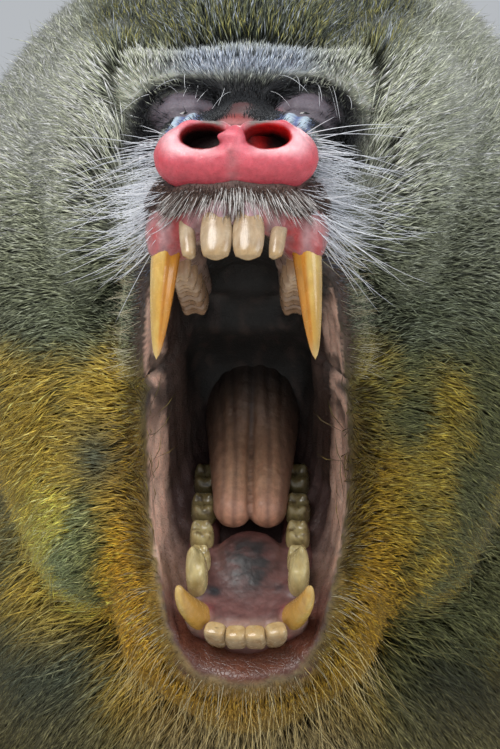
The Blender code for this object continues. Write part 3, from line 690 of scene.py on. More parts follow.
def masks(p, n):
    """Where things lie on the skin: named shares from 0 to 1."""
    hx, hf, hu = local(p, "H")
    jx, jf, ju = local(p, "J")
    ax = np.abs(hx)
    forward = SHIFT - p[:, 1]
    up = p[:, 2] - JOINT[1]
    m = np.where((forward > 300) & (p[:, 2] > 500), inside_mouth(p), 50.0)
    margin = JOINT[0] + np.interp(up, LIP_UP, LIP_FORWARD)
    inner = smooth(1.6, 0.3, m)
    half = np.interp(up, LIP_UP, LIP_HALF)
    behind = smooth(6.5, 4.0, m) * smooth(4, 8, margin - forward) * smooth(half + 4, half, np.abs(p[:, 0])) * smooth(-22, -30, hu)
    roofed = smooth(5, 9, margin - forward) * smooth(half + 1, half - 4, np.abs(p[:, 0])) * smooth(-28, -34, hu)
    behind = np.maximum(behind, roofed * smooth(-66, -58, ju) * smooth(288, 300, forward) * smooth(24, 18, m))
    inner = np.maximum(inner, behind)
    above = heading("H", 0, 0, 1)
    facing_up = n @ above
    ridge = hump(ax, 22, 14.5) * smooth(78, 88, hf) * smooth(160, 148, hf) * smooth(-0.35, 0.1, facing_up) * smooth(-8, 2, hu) * smooth(42, 36, hu)
    bridge = hump(ax, 0, 10.5) * smooth(110, 120, hf) * smooth(168, 156, hf) * smooth(0.1, 0.5, facing_up)
    eye_out = np.sqrt(((ax - 26) / 15.5) ** 2 + ((hu - 32.5) / 10.5) ** 2)
    lid = smooth(1.08, 0.82, eye_out) * smooth(80, 86, hf)
    nose = smooth(4.5, 0.5, nose_field(p))
    lip_low = smooth(32, 22, np.abs(jx)) * smooth(140, 147, jf) * smooth(-65.5, -60, ju - 0.018 * jx**2) * (1 - inner)
    muzzle_side = smooth(78, 92, hf) * smooth(158, 148, hf) * hump(hu, -4, 18) * smooth(24, 30, ax) * (1 - inner)
    rump = np.sqrt((p[:, 0] / 62) ** 2 + ((p[:, 2] - 440) / 66) ** 2)
    rump = smooth(1.15, 0.8, rump) * smooth(-286, -306, forward)
    sole = smooth(0.4, 0.8, -n[:, 2]) * smooth(26, 14, p[:, 2])
    low = smooth(105, 60, p[:, 2])
    ear = np.zeros(len(p))
    q = mirrored(p)
    ear = smooth(3.5, 0.8, np.maximum(np.abs(ear_field(1)(q)), 68 - q[:, 0] + 0.0 * q[:, 0])) * smooth(66, 72, q[:, 0]) * smooth(-90, -75, hf)
    ear *= (hf < -20) & (hf > -82) & (hu > 4) & (hu < 75)
    return dict(
        hx=hx, hf=hf, hu=hu, jx=jx, jf=jf, ju=ju, ax=ax, forward=forward, up=up, m=m, inner=inner,
        inward=margin - forward, facing_up=facing_up, ridge=ridge, bridge=bridge, lid=lid, nose=nose,
        lip_low=lip_low, muzzle_side=muzzle_side, rump=rump, sole=sole, low=low, ear=ear,
    )


NOSE_FORMS = [
    ("e", "H", (0, 165, -8), (18, 11, 12.5), 0, 0, 6),
    ("e", "H", (16.5, 162, -6), (17, 13, 14), 0, 0, 6),
]


def nose_field(p):
    return union(mirrored(p), NOSE_FORMS, True)


def relief(p, n, k):
    """Folds that are finer than the forms: moves the skin's points along their normals."""
    move = np.zeros(len(p))
    # grooves along the swellings beside the nasal bridge
    axis_x = 21 - (k["hf"] - 82) / 61
    axis_u = 22 - (k["hf"] - 82) / 61 * 21
    around = np.arctan2(k["ax"] - axis_x, k["hu"] - axis_u)
    wave = np.cos(around * 12 + 0.4 * np.sin(k["hf"] / 9))
    move += k["ridge"] * 0.75 * (wave - 0.3)
    # lids: the slit, the fold over it and fine creases
    slit = 31.2 - 0.011 * (k["ax"] - 25) ** 2 - 0.07 * (k["ax"] - 25)
    reach = smooth(12, 15, k["ax"]) * smooth(41, 37, k["ax"]) * smooth(80, 86, k["hf"])
    move -= reach * 1.5 * hump(k["hu"], slit, 1.5)
    move += reach * 0.5 * (hump(k["hu"], slit + 2.2, 1.6) + hump(k["hu"], slit - 2.2, 1.6))
    move -= reach * 0.7 * hump(k["hu"], slit + 8.5 - 0.006 * (k["ax"] - 25) ** 2, 1.6)
    move += k["lid"] * 0.22 * np.sin((k["hu"] - slit) * 2.6 + 0.2 * k["ax"])
    # frown lines between the brows
    frown = hump(k["ax"], 6, 8) * smooth(78, 86, k["hf"]) * hump(k["hu"], 46, 14)
    move -= frown * 0.8 * (0.5 + 0.5 * np.cos(k["hx"] * 1.15))
    # the cheeks' inner folds, running up and down
    cheek = k["inner"] * smooth(-3, 2, k["inward"]) * smooth(60, 40, k["inward"]) * smooth(0.35, 0.7, np.abs(n[:, 0]))
    wobble = 2.2 * ripple(p, 42, 3)
    move += cheek * (0.55 * np.sin((k["inward"] + wobble) * 0.95) + 0.3 * np.sin((k["inward"] + wobble) * 2.1 + 1.0))
    # ridges across the palate
    palate = k["inner"] * smooth(0.45, 0.8, -k["facing_up"]) * smooth(52, 64, k["hf"])
    arc = k["hf"] + 0.012 * k["hx"] ** 2 + 1.2 * np.sin(k["ax"] / 4.0)
    move += palate * 0.75 * (np.cos(arc * 2 * math.pi / 7.5))
    # creases of the lower lip
    angle = np.arctan2(k["jx"], k["jf"] - 118)
    move += k["lip_low"] * 0.22 * np.sin(angle * 46 + 2 * ripple(p, 15, 5))
    # a soft unevenness of bare skin
    bare = np.clip(k["inner"] + k["lip_low"] + k["rump"] + k["low"] + k["ear"], 0, 1)
    move += bare * 0.25 * ripple(p, 9, 11)
    # the two pads that a mandrill sits on
    pad = np.sqrt(((np.abs(p[:, 0]) - 27) / 19) ** 2 + ((p[:, 2] - 414) / 24) ** 2)
    move += k["rump"] * 2.2 * smooth(1.05, 0.8, pad)
    move += k["rump"] * smooth(0.9, 1.3, pad) * 0.5 * ripple(p, 12, 17)
    return p + n * move[:, None]


def skin_tint(p, n, k):
    grey = np.array([0.085, 0.075, 0.068])
    c = np.tile(grey, (len(p), 1))
    face = smooth(60, 84, k["hf"])
    c = mix(c, (0.06, 0.05, 0.05), face)
    side = np.clip(k["muzzle_side"] * 1.5, 0, 1)
    c = mix(c, (0.27, 0.26, 0.33), side)
    lip = face * smooth(-12, -22, k["hu"]) * smooth(-0.2, 0.3, k["hf"] / 100 - 0.6)
    c = mix(c, (0.13, 0.075, 0.06), lip)
    brow = smooth(70, 80, k["hf"]) * smooth(30, 36, k["hu"]) * smooth(72, 60, k["hu"])
    c = mix(c, (0.018, 0.017, 0.02), brow)
    axis_x = 21 - (k["hf"] - 82) / 61
    axis_u = 22 - (k["hf"] - 82) / 61 * 21
    around = np.arctan2(k["ax"] - axis_x, k["hu"] - axis_u)
    wave = 0.5 + 0.5 * np.cos(around * 12 + 0.4 * np.sin(k["hf"] / 9))
    blue = mix((0.10, 0.14, 0.34), (0.47, 0.58, 0.68), smooth(0.15, 0.75, wave))
    c = mix(c, blue, np.clip(k["ridge"] * 1.7, 0, 1))
    c = mix(c, mix((0.075, 0.016, 0.016), (0.46, 0.060, 0.052), smooth(150, 170, k["hf"])), np.clip(k["bridge"] * 1.6, 0, 1))
    c = mix(c, (0.15, 0.125, 0.15), np.clip(k["lid"] * 1.2, 0, 1))
    inner_corner = hump(k["ax"], 13.5, 3.2) * hump(k["hu"], 31.5, 3.6) * smooth(78, 84, k["hf"])
    c = mix(c, (0.38, 0.07, 0.07), inner_corner)
    near_nose = smooth(5.5, 1.0, nose_field(p)) * face
    c = mix(c, (0.42, 0.17, 0.17), near_nose * 0.8)
    # mouth
    z = p[:, 2]
    # the cheeks' inner strips; painted light makes the animal's right side (-x), toward the key lamp, up to 12% lighter
    strip = mix((0.76, 0.46, 0.35), (0.90, 0.62, 0.49), 0.5 + 0.5 * ripple(p * (1, 1, 0.35), 7, 21)) * mix(1.0, 1.12, smooth(10, -10, p[:, 0]))
    # painted shade: the strips go dark brown a little way in from the lips and near black deep in the mouth
    strip = mix(strip, (0.050, 0.030, 0.024), smooth(10, 17, k["inward"] + 1.5 * ripple(p, 12, 22)))
    strip = mix(strip, (0.004, 0.0035, 0.003), smooth(26, 58, k["inward"]))
    patch = hump(z, 638, 20) * smooth(-0.5, 0.3, ripple(p, 16, 23) + 0.35 - 0.5 * (p[:, 0] > 0)) * smooth(26, 12, k["inward"])
    strip = mix(strip, (0.035, 0.030, 0.030), patch * 0.9)
    dark = smooth(0.15, 0.75, ripple(p * (1, 1, 0.3), 9, 29)) * 0.32
    strip = mix(strip, (0.075, 0.045, 0.038), dark)
    roof = smooth(0.3, 0.7, -k["facing_up"]) * smooth(44, 60, k["hf"])
    arc = k["hf"] + 0.012 * k["hx"] ** 2 + 1.2 * np.sin(k["ax"] / 4.0)
    palate = mix((0.013, 0.011, 0.008), (0.044, 0.035, 0.026), 0.5 + 0.5 * np.cos(arc * 2 * math.pi / 7.5))
    # painted shade and light: the palate fades to near black toward the throat, and its front under the incisors'
    # shadow is painted lighter brown
    palate = mix(palate, (0.005, 0.004, 0.003), smooth(118, 84, k["hf"]))
    palate = mix(palate, (0.46, 0.29, 0.22), smooth(118, 144, k["hf"]))
    strip = mix(strip, palate, roof)
    floor = smooth(0.2, 0.6, n @ heading("J", 0, 0, 1)) * smooth(-40, -50, k["ju"])
    strip = mix(strip, (0.115, 0.068, 0.062), floor * 0.8)
    strip = mix(strip, (0.10, 0.035, 0.030), smooth(122, 140, k["jf"]) * 0.85)
    c = mix(c, strip, k["inner"])
    # painted shadow: a dark line along the outside of the lip margin
    rim = hump(k["m"], 1.6, 2.4) * smooth(-10, 0, k["inward"]) * (1 - k["inner"])
    c = mix(c, (0.020, 0.014, 0.013), rim * 0.85)
    crescent = mix((0.068, 0.017, 0.008), (0.122, 0.035, 0.014), 0.5 + 0.5 * ripple(p, 4, 31))
    chin = smooth(138, 146, k["jf"]) * smooth(34, 26, k["ax"]) * smooth(-48, -56, k["ju"]) * smooth(-82, -72, k["ju"])
    c = mix(c, crescent, np.clip(k["lip_low"] * 2.2 + chin * 0.8, 0, 1))
    # painted shade and light behind the nostrils: dark, with bright red only in the left one (+x)
    hollow = mix((0.018, 0.005, 0.005), (0.50, 0.012, 0.010), hump(k["hx"], 9, 5.5))
    c = mix(c, hollow, smooth(1.0, -1.0, nose_field(p)))
    upper_lip = smooth(140, 150, k["hf"]) * smooth(-12, -17, k["hu"]) * (1 - k["inner"])
    c = mix(c, mix((0.060, 0.034, 0.028), (0.13, 0.07, 0.058), 0.5 + 0.5 * ripple(p, 5, 33)), upper_lip)
    # ears, hands, feet and rump
    c = mix(c, mix((0.22, 0.12, 0.10), (0.30, 0.17, 0.145), 0.5 + 0.5 * ripple(p, 14, 37)), k["ear"])
    c = mix(c, (0.030, 0.025, 0.024), k["low"])
    c = mix(c, (0.060, 0.047, 0.043), k["sole"])
    reach = np.sqrt((p[:, 0] / 62) ** 2 + ((z - 440) / 66) ** 2)
    lilac = mix((0.50, 0.13, 0.16), (0.24, 0.20, 0.46), smooth(0.25, 0.75, reach + 0.12 * ripple(p, 20, 41)))
    lilac = mix(lilac, (0.16, 0.22, 0.48), smooth(0.7, 1.0, reach))
    pad = np.sqrt(((np.abs(p[:, 0]) - 27) / 19) ** 2 + ((z - 414) / 24) ** 2)
    lilac = mix(lilac, (0.40, 0.25, 0.22), smooth(1.05, 0.9, pad))
    c = mix(c, lilac, np.clip(k["rump"] * 1.8, 0, 1))
    c = c * (1 + 0.12 * ripple(p, 11, 43)[:, None])
    return np.clip(c, 0, 1)


def skin_finish():
    f = Finish("skin", Roughness=0.5, Specular_IOR_Level=0.5)
    tint = f.attribute("Tint").outputs["Color"]
    wet = f.attribute("Wet").outputs["Fac"]
    fine = f.noise(900, 3.0)
    broad = f.noise(140, 4.0)
    tone = f.range(f.math("ADD", f.math("MULTIPLY", fine, 0.5), f.math("MULTIPLY", broad, 0.5)), 0.3, 0.7, 0.72, 1.25)
    f.base(f.blend("MULTIPLY", 1.0, tint, tone))
    rough = f.range(wet, 0, 1, 0.62, 0.27)
    f.link(f.math("ADD", rough, f.range(fine, 0.3, 0.7, -0.06, 0.08)), f.shader.inputs["Roughness"])
    crease = f.node("ShaderNodeTexVoronoi", feature="DISTANCE_TO_EDGE")
    place = f.node("ShaderNodeTexCoord")
    crease.inputs["Scale"].default_value = 520
    f.link(place.outputs["Object"], crease.inputs["Vector"])
    height = f.math("ADD", f.math("MULTIPLY", fine, 0.6), f.range(crease.outputs["Distance"], 0.0, 0.12, 0.0, 0.5))
    f.bump(height, 0.35, 0.0006)
    f.shader.inputs["Subsurface Weight"].default_value = 0.08
    f.shader.inputs["Subsurface Scale"].default_value = 0.002
    f.shader.inputs["Subsurface Radius"].default_value = (1.0, 0.35, 0.25)
    return f


FLESH = [
    "head", "lower_jaw", "neck", "chest", "abdomen", "rump", "tail",
    "upper_arm_left", "upper_arm_right", "forearm_left", "forearm_right", "hand_left", "hand_right",
    "thigh_left", "thigh_right", "shank_left", "shank_right", "foot_left", "foot_right", "ear_left", "ear_right",
]
skin_points, skin_faces, skin_normals = shape_skin()
skin_masks = masks(skin_points, skin_normals)
skin_points = relief(skin_points, skin_normals, skin_masks)
tint = skin_tint(skin_points, skin_normals, skin_masks)
deep = np.maximum(smooth(16, 40, skin_masks["inward"]), smooth(0.3, 0.7, -skin_masks["facing_up"]) * smooth(128, 100, skin_masks["hf"]))
wet = np.clip(skin_masks["inner"] * 0.9 * (1 - deep) + skin_masks["lid"] * 0.25, 0, 1)
skin = mesh("skin", skin_points, skin_faces, [("Tint", tint), ("Wet", wet)])
show(skin, skin_finish(), "bare_skin", *FLESH)


# ---------------------------------------------------------------- nose


def nose_shape(p):
    """The pad: two wings round deep nostrils with raised rims, a groove under the septum."""
    q = mirrored(p)
    d = union(q, [("e", "H", (0, 164, -10), (19, 11, 12.5), 0, 0, 6), ("e", "H", (16.6, 162, -8.6), (16.6, 12.5, 13.6), 0, 0, 7)], True)
    d = carve(d, cone(q, "H", (0, 178, 11), 3.4, (0, 166, 14), 6, 0), 7)
    d = blend(d, cone(q, "H", (5.5, 169, 1.6), 2.3, (19, 168.5, 1.8), 2.8, 0), 4)
    d = carve(d, ellipsoid(q, "H", (13.0, 168, -2.4), (8.8, 16, 4.6), 0), 3.6)
    d = carve(d, ellipsoid(q, "H", (14.2, 177.0, -2.4), (12.4, 6.2, 7.4), 0), 4.6)
    d = blend(d, cone(q, "H", (0, 172.6, -1), 2.6, (0, 174.0, -9), 2.2, 0), 3)
    d = blend(d, ellipsoid(p, "H", (-1.8, 173.2, -3.6), (5.4, 3.6, 2.3), 0), 2.5)
    d = carve(d, cone(q, "H", (0, 178, -9), 1.2, (0, 174, -23), 1.9, 0), 3)
    return d


c = skull((0, 164, -6))
points, faces = nets(nose_shape, steps((c[0] - 37, c[0] + 37, 0.8)), steps((c[1] - 22, c[1] + 20, 0.8)), steps((c[2] - 22, c[2] + 24, 0.8)))
points, normals = settle(nose_shape, points)
hx, hf, hu = local(points, "H")
ax = np.abs(hx)
points = points + normals * (0.16 * ripple(points, 5, 51))[:, None]
c = mix((0.66, 0.105, 0.14), (0.82, 0.21, 0.26), 0.5 + 0.5 * ripple(points, 13, 53))
c = mix(c, (0.52, 0.055, 0.075), smooth(-10, -19, hu) * 0.85)
c = mix(c, (0.62, 0.07, 0.09), smooth(24, 33, ax) * 0.8)
# painted highlights: pale pink bands round the nostrils' lower rims and on the pad's outer sides
c = mix(c, (0.95, 0.66, 0.69), hump(hu, -8.0, 5.0) * smooth(4, 12, ax) * smooth(31, 20, ax) * 0.85)
c = mix(c, (0.94, 0.62, 0.66), hump(ax, 26, 7) * hump(hu, -3, 9) * 0.75)
# painted shade along the groove under the septum
groove_shade = hump(hx + 1.0, 0, 4.5) * smooth(-6, -11, hu) * smooth(-25, -18, hu)
c = mix(c, (0.40, 0.13, 0.14), np.clip(groove_shade * 0.6 + 0.2 * groove_shade * ripple(points, 4, 57), 0, 1))
rim = hump(ax, 9.5, 9.5) * hump(hu, 3.2, 5.0)
c = mix(c, (0.21, 0.175, 0.165), np.clip(rim * 1.25, 0, 1))
hole = smooth(1.12, 0.98, np.sqrt(((ax - 13.0) / 9.4) ** 2 + ((hu + 2.4) / 5.6) ** 2)) * smooth(175.5, 171, hf)
# painted light: inside the left nostril (+x) the outer wall is bright red, in the right one dark red
red = mix((0.26, 0.018, 0.020), (0.55, 0.012, 0.012), smooth(0.2, 0.7, hx / 20))
c = mix(c, red, hole)
# painted shade: the nostrils go near black deeper in
c = mix(c, (0.014, 0.004, 0.004), smooth(169, 162, hf + 3.0 * (hx > 0)) * hole)
nose = mesh("nose_pad", points, faces, [("Tint", np.clip(c, 0, 1))])
f = Finish("nose", Roughness=0.36, Specular_IOR_Level=0.5)
grain = f.noise(1500, 2.0)
f.base(f.blend("MULTIPLY", 1.0, f.attribute("Tint").outputs["Color"], f.range(f.noise(380, 4.0), 0.3, 0.7, 0.84, 1.14)))
f.link(f.range(grain, 0.3, 0.7, 0.26, 0.40), f.shader.inputs["Roughness"])
cells = f.node("ShaderNodeTexVoronoi", feature="DISTANCE_TO_EDGE")
cells.inputs["Scale"].default_value = 900
f.link(f.node("ShaderNodeTexCoord").outputs["Object"], cells.inputs["Vector"])
f.bump(f.math("ADD", f.range(cells.outputs["Distance"], 0, 0.1, 0, 0.6), f.math("MULTIPLY", grain, 0.5)), 0.3, 0.0004)
f.shader.inputs["Subsurface Weight"].default_value = 0.15
f.shader.inputs["Subsurface Scale"].default_value = 0.002
f.shader.inputs["Subsurface Radius"].default_value = (1.0, 0.3, 0.2)
show(nose, f, "nose_skin", "nose")

# ---------------------------------------------------------------- eyes, behind the shut lids

for side, tag in ((1, "left"), (-1, "right")):
    n = 32
    around = np.arange(n) * 2 * math.pi / n
    rows = np.linspace(-math.pi / 2, math.pi / 2, 18)[1:-1]
    ring = [[math.cos(r) * math.cos(t), math.cos(r) * math.sin(t), math.sin(r)] for r in rows for t in around]
    ring = np.array(ring + [[0, 0, -1], [0, 0, 1]])
    cornea = 1 + 0.10 * smooth(0.86, 0.97, ring[:, 1])
    points = skull((side * 25, 81.5, 31.5)) + heading("H", *ring.T) * (10.9 * cornea)[:, None]
    low, high, last = len(rows) * n, len(rows) * n + 1, (len(rows) - 1) * n
    faces = []
    for j in range(n):
        k = (j + 1) % n
        faces += [(low, k, j), (high, last + j, last + k)]
        for i in range(0, last, n):
            faces += [(i + j, i + k, i + n + k), (i + j, i + n + k, i + n + j)]
    white = mix((0.42, 0.30, 0.26), (0.10, 0.045, 0.02), smooth(0.80, 0.86, ring[:, 1]))
    white = mix(white, (0.004, 0.003, 0.003), smooth(0.95, 0.965, ring[:, 1]))
    # heading() mirrors forward to -Y, so the faces are turned round
    eye = mesh("eyeball_" + tag, points, np.array(faces)[:, ::-1], [("Tint", white)])
    f = Finish("eye_" + tag, Roughness=0.12, Coat_Weight=0.6, Coat_Roughness=0.05)
    f.base(f.blend("MULTIPLY", 1.0, f.attribute("Tint").outputs["Color"], f.range(f.noise(700, 4.0), 0.3, 0.7, 0.8, 1.15)))
    show(eye, f, None, "eye_" + tag)

# ---------------------------------------------------------------- gums, teeth and tongue


def tone_mesh(name, field, box, step, colour, finish, slot, nodes=(), extra=None):
    low, high = box
    points, faces = nets(field, *[steps((low[m], high[m], step)) for m in range(3)])
    points, normals = settle(field, points)
    if extra is not None:
        points = points + normals * extra(points, normals)[:, None]
    obj = mesh(name, points, faces, [("Tint", np.clip(colour(points, normals), 0, 1))])
    return show(obj, finish, slot, *nodes)


def bulges(name, spots):
    """The gum swells round each root."""
    return [("c", name, a, ra, b, rb, 0, 0, 4) for a, ra, b, rb in spots]


UPPER_GUM = [
    ("c", "H", (21, 66, -35), 7, (22.5, 112, -36), 7.6, 0, 0, 4),
    ("c", "H", (22.5, 112, -36), 7.6, (27, 146, -36), 9.0, 0, 0, 4),
    ("c", "H", (27, 146, -36), 9.0, (12, 157.5, -30), 7.6, 0, 0, 4),
    ("c", "H", (12, 157.5, -30), 7.6, (0, 159.5, -28), 7.4, 0, 0, 4),
] + bulges("H", [
    ((6.0, 162.5, -26), 3.8, (6.0, 164.6, -35.5), 2.8),
    ((17.2, 157.5, -27), 3.4, (18.2, 160, -37), 2.8),
    ((28.5, 150, -30), 6.6, (29.4, 150.5, -43), 6.2),
])
UPPER_PITS = [  # where each crown leaves the gum
    ((6.4, 168.6, -42.5), (5.4, 4.2, 6.2)),
    ((17.0, 163.0, -43.5), (4.2, 3.6, 5.8)),
]
LOWER_GUM = [
    ("e", "J", (0, 112, -61), (15, 15, 9), 0, 0, 10),
    ("c", "J", (19.5, 64, -64), 6.5, (20.5, 112, -64), 7.3, 0, 0, 4),
    ("c", "J", (20.5, 112, -64), 7.3, (18, 144, -63), 7.8, 0, 0, 4),
    ("c", "J", (18, 144, -63), 7.8, (0, 152, -62), 7.8, 0, 0, 4),
    ("e", "J", (0, 132, -65), (20, 26, 9.5), 0, 0, 8),
] + bulges("J", [
    ((4.6, 155, -60), 3.6, (4.6, 156.5, -57), 3.2),
    ((12.6, 151, -60), 3.4, (12.9, 152.5, -57), 3.0),
    ((17.5, 146, -60), 6.6, (19.6, 148, -53), 6.3),
    ((20.8, 131, -62), 5.2, (21.2, 130, -57), 4.6),
])


def upper_gum(p):
    q = mirrored(p)
    d = union(q, UPPER_GUM, True)
    return carve(d, cone(q, "H", (0, 170, -44), 2.6, (0, 166, -30), 1.2, 0), 3)


def lower_gum(p):
    return union(mirrored(p), LOWER_GUM, True)


def upper_gum_colour(p, n):
    hx, hf, hu = local(p, "H")
    ax = np.abs(hx)
    c = mix((0.33, 0.155, 0.16), (0.44, 0.25, 0.255), 0.5 + 0.5 * ripple(p, 10, 61))
    c = mix(c, (0.46, 0.30, 0.34), hump(ax, 5, 11) * smooth(-40, -33, hu) * 0.7)
    c = mix(c, (0.46, 0.20, 0.27), hump(ax, 0, 3.5) * 0.7)
    red = hump(ax, 23, 6.5) * smooth(-24, -32, hu) + 0.7 * hump(ax, 33, 4.5) * smooth(-30, -40, hu)
    c = mix(c, (0.42, 0.055, 0.055), np.clip(red * (0.95 + 0.4 * ripple(p, 6, 63)), 0, 1) * smooth(128, 142, hf))
    c = mix(c, (0.60, 0.16, 0.16), hump(ax, 11.5, 2.4) * smooth(-30, -36, hu) * 0.8)
    behind = smooth(140, 128, hf)
    beige = mix((0.40, 0.26, 0.19), (0.52, 0.36, 0.26), 0.5 + 0.5 * ripple(p, 7, 67))
    c = mix(c, beige, behind)
    # painted shade: the gum behind the canines is darker where it faces in toward the tongue
    return mix(c, (0.14, 0.09, 0.075), behind * smooth(-0.1, -0.7, n[:, 0] * np.sign(hx)) * 0.75)


def lower_gum_colour(p, n):
    jx, jf, ju = local(p, "J")
    ax = np.abs(jx)
    c = mix((0.125, 0.056, 0.052), (0.20, 0.095, 0.086), 0.5 + 0.5 * ripple(p, 9, 71))
    centre = smooth(1.15, 0.3, np.sqrt((jx / 15) ** 2 + ((jf - 116) / 24) ** 2))
    c = mix(c, (0.030, 0.026, 0.026), np.clip(centre * (0.9 + 0.5 * ripple(p, 8, 73)), 0, 1))
    spot = hump(jx + 14, 0, 5) * hump(jf, 132, 5) + 0.6 * hump(jx - 13, 0, 4) * hump(jf, 130, 4)
    c = mix(c, (0.03, 0.028, 0.032), np.clip(spot * 1.3, 0, 1))
    c = mix(c, (0.33, 0.08, 0.08), hump(ax, 16.5, 4.5) * smooth(138, 144, jf) * 0.7)
    c = mix(c, (0.52, 0.34, 0.26), smooth(146, 152, jf) * smooth(-60, -55, ju) * 0.5)
    # painted shadow: the gum's front below the lower incisors is dark brown-red
    c = mix(c, (0.085, 0.030, 0.022), smooth(148, 153, jf) * smooth(-57, -61, ju))
    # painted shade: darker toward the back of the mouth
    return mix(c, (0.10, 0.035, 0.030), smooth(112, 98, jf) * 0.85)


def wet_finish(name, rough=0.25, cells=420, gloss=0.2):
    f = Finish(name, Roughness=rough, Coat_Weight=gloss, Coat_Roughness=0.14)
    f.base(f.blend("MULTIPLY", 1.0, f.attribute("Tint").outputs["Color"], f.range(f.noise(420, 5.0), 0.3, 0.7, 0.82, 1.16)))
    f.link(f.range(f.noise(260, 3.0), 0.3, 0.7, rough - 0.08, rough + 0.14), f.shader.inputs["Roughness"])
    f.bump(f.noise(cells, 4.0), 0.35, 0.0009)
    f.shader.inputs["Subsurface Weight"].default_value = 0.12
    f.shader.inputs["Subsurface Scale"].default_value = 0.002
    f.shader.inputs["Subsurface Radius"].default_value = (1.0, 0.35, 0.25)
    return f


gum_finish = wet_finish("gum", 0.3)
box = (skull((-42, 0, 0))[0], skull((0, 178, -60))[1] - 4, skull((0, 60, -60))[2] - 2), (skull((42, 0, 0))[0], skull((0, 50, -60))[1] + 4, skull((0, 170, -12))[2] + 4)
tone_mesh("gum_upper", upper_gum, box, 0.95, upper_gum_colour, gum_finish, "tongue_skin", (), lambda p, n: 0.16 * ripple(p, 5, 75))
box = (-42, jaw((0, 170, -60))[1] - 8, jaw((0, 170, -80))[2] - 6), (42, jaw((0, 50, -80))[1] + 14, jaw((0, 50, -50))[2] + 6)
tone_mesh("gum_lower", lower_gum, box, 1.0, lower_gum_colour, wet_finish("gum_floor", 0.44, 420, 0.04), "tongue_skin", (), lambda p, n: 0.22 * ripple(p, 5, 77))


def crown(place, centre, half, low, high, cusps=(), lean=(0.0, 0.0), turned=0.0, squareness=2.6, sides=26):
    """A low-crowned tooth: a bulging wall and a top with cusps. Gives points, faces and height shares."""
    c, s = math.cos(turned), math.sin(turned)
    t = np.linspace(0, 2 * math.pi, sides + 1)[:-1]
    ex = np.sign(np.cos(t)) * np.abs(np.cos(t)) ** (2 / squareness)
    ef = np.sign(np.sin(t)) * np.abs(np.sin(t)) ** (2 / squareness)
    rows = [(0.0, 0.80), (0.2, 0.90), (0.42, 0.99), (0.62, 1.0), (0.80, 0.96), (0.92, 0.88), (1.0, 0.76), (1.0, 0.6), (1.0, 0.4), (1.0, 0.2)]
    points, share = [], []

    def top(x, f):
        return sum(h * np.exp(-(((x - dx) / wx) ** 2 + ((f - df) / wf) ** 2)) for dx, df, h, wx, wf in cusps)

    for v, r in rows:
        x, f = ex * half[0] * r, ef * half[1] * r
        u = low + (high - low) * v + (top(x, f) * smooth(0.7, 1.0, v) if cusps else 0.0)
        lx, lf = x + lean[0] * v, f + lean[1] * v
        points += [place((centre[0] + a * c - b * s, centre[1] + a * s + b * c, w)) for a, b, w in zip(lx, lf, np.broadcast_to(u, x.shape))]
        share += [v] * sides
    w = high + (top(0.0, 0.0) if cusps else 0.0)
    points.append(place((centre[0] + lean[0] * c, centre[1] + lean[1], w)))
    share.append(1.0)
    return wall(points, sides, len(rows)), share


def wall(points, sides, rows):
    faces = []
    for i in range(rows - 1):
        for j in range(sides):
            a, b = i * sides + j, i * sides + (j + 1) % sides
            faces += [(a, b, b + sides), (a, b + sides, a + sides)]
    tip = rows * sides
    faces += [((rows - 1) * sides + j, (rows - 1) * sides + (j + 1) % sides, tip) for j in range(sides)]
    faces += [(0, j + 1, j) for j in range(1, sides - 1)]
    return np.array(points), faces


def curve(stations, count):
    """A smooth run through stations of equal-length tuples."""
    s = np.array(stations, float)
    s = np.vstack([2 * s[0] - s[1], s, 2 * s[-1] - s[-2]])
    out = []
    for v in np.linspace(0, len(s) - 3 - 1e-6, count):
        i = int(v)
        t = v - i
        a, b, c, d = s[i : i + 4]
        out.append(0.5 * (2 * b + (c - a) * t + (2 * a - 5 * b + 4 * c - d) * t**2 + (3 * b - 3 * c + d - a) * t**3))
    return np.array(out)


def fang(place, stations, side, groove, sides=28, rows=34):
    """A curved canine with a groove down its inner front, one ring after another."""
    run = curve(stations, rows)
    t = np.linspace(0, 2 * math.pi, sides + 1)[:-1]
    points, share = [], []
    for i, (x, f, u, a, b) in enumerate(run):
        v = i / (rows - 1)
        round_off = math.sqrt(max(0.0, 1 - max(0.0, (v - 0.9) / 0.1) ** 2)) * 0.92 + 0.08
        cut = 1 - groove * np.exp(-(((t - 2.15 + math.pi) % (2 * math.pi) - math.pi) / 0.34) ** 2) * smooth(1.0, 0.75, np.array(v))
        for j, angle in enumerate(t):
            dx, df = a * math.cos(angle) * cut[j] * round_off, b * math.sin(angle) * cut[j] * round_off
            points.append(place((side * (x + dx), f + df, u)))
            share.append(v)
    x, f, u, a, b = run[-1]
    points.append(place((side * x, f, u + (run[-1][2] - run[-2][2]) * 0.35)))
    share.append(1.0)
    made, faces = wall(points, sides, rows)
    if side < 0:
        faces = [face[::-1] for face in faces]
    return (made, faces), share


def join(parts):
    points, faces, share, kind = [], [], [], []
    at = 0
    for ((p, f), v), k in parts:
        points.append(p)
        faces.append(np.array(f) + at)
        share += list(v)
        kind += [k] * len(p)
        at += len(p)
    return np.concatenate(points), np.concatenate(faces), np.array(share), np.array(kind)


def outward(part, place_up):
    """Turns a tooth's faces to point out where its rings were made the other way round."""
    (p, f), v = part
    f = np.array(f)
    t = p[f]
    volume = np.einsum("ij,ij->i", t[:, 0] - p.mean(0), np.cross(t[:, 1] - p.mean(0), t[:, 2] - p.mean(0))).sum()
    return ((p, f[:, ::-1] if volume < 0 else f), v)


MOLAR = [(-0.5, -0.48, 2.6, 0.42, 0.36), (0.5, -0.48, 2.4, 0.42, 0.36), (-0.5, 0.48, 2.6, 0.42, 0.36), (0.5, 0.48, 2.4, 0.42, 0.36)]


def cusps_for(half, scale=1.0):
    return [(dx * half[0], df * half[1], h * scale, wx * half[0], wf * half[1]) for dx, df, h, wx, wf in MOLAR]


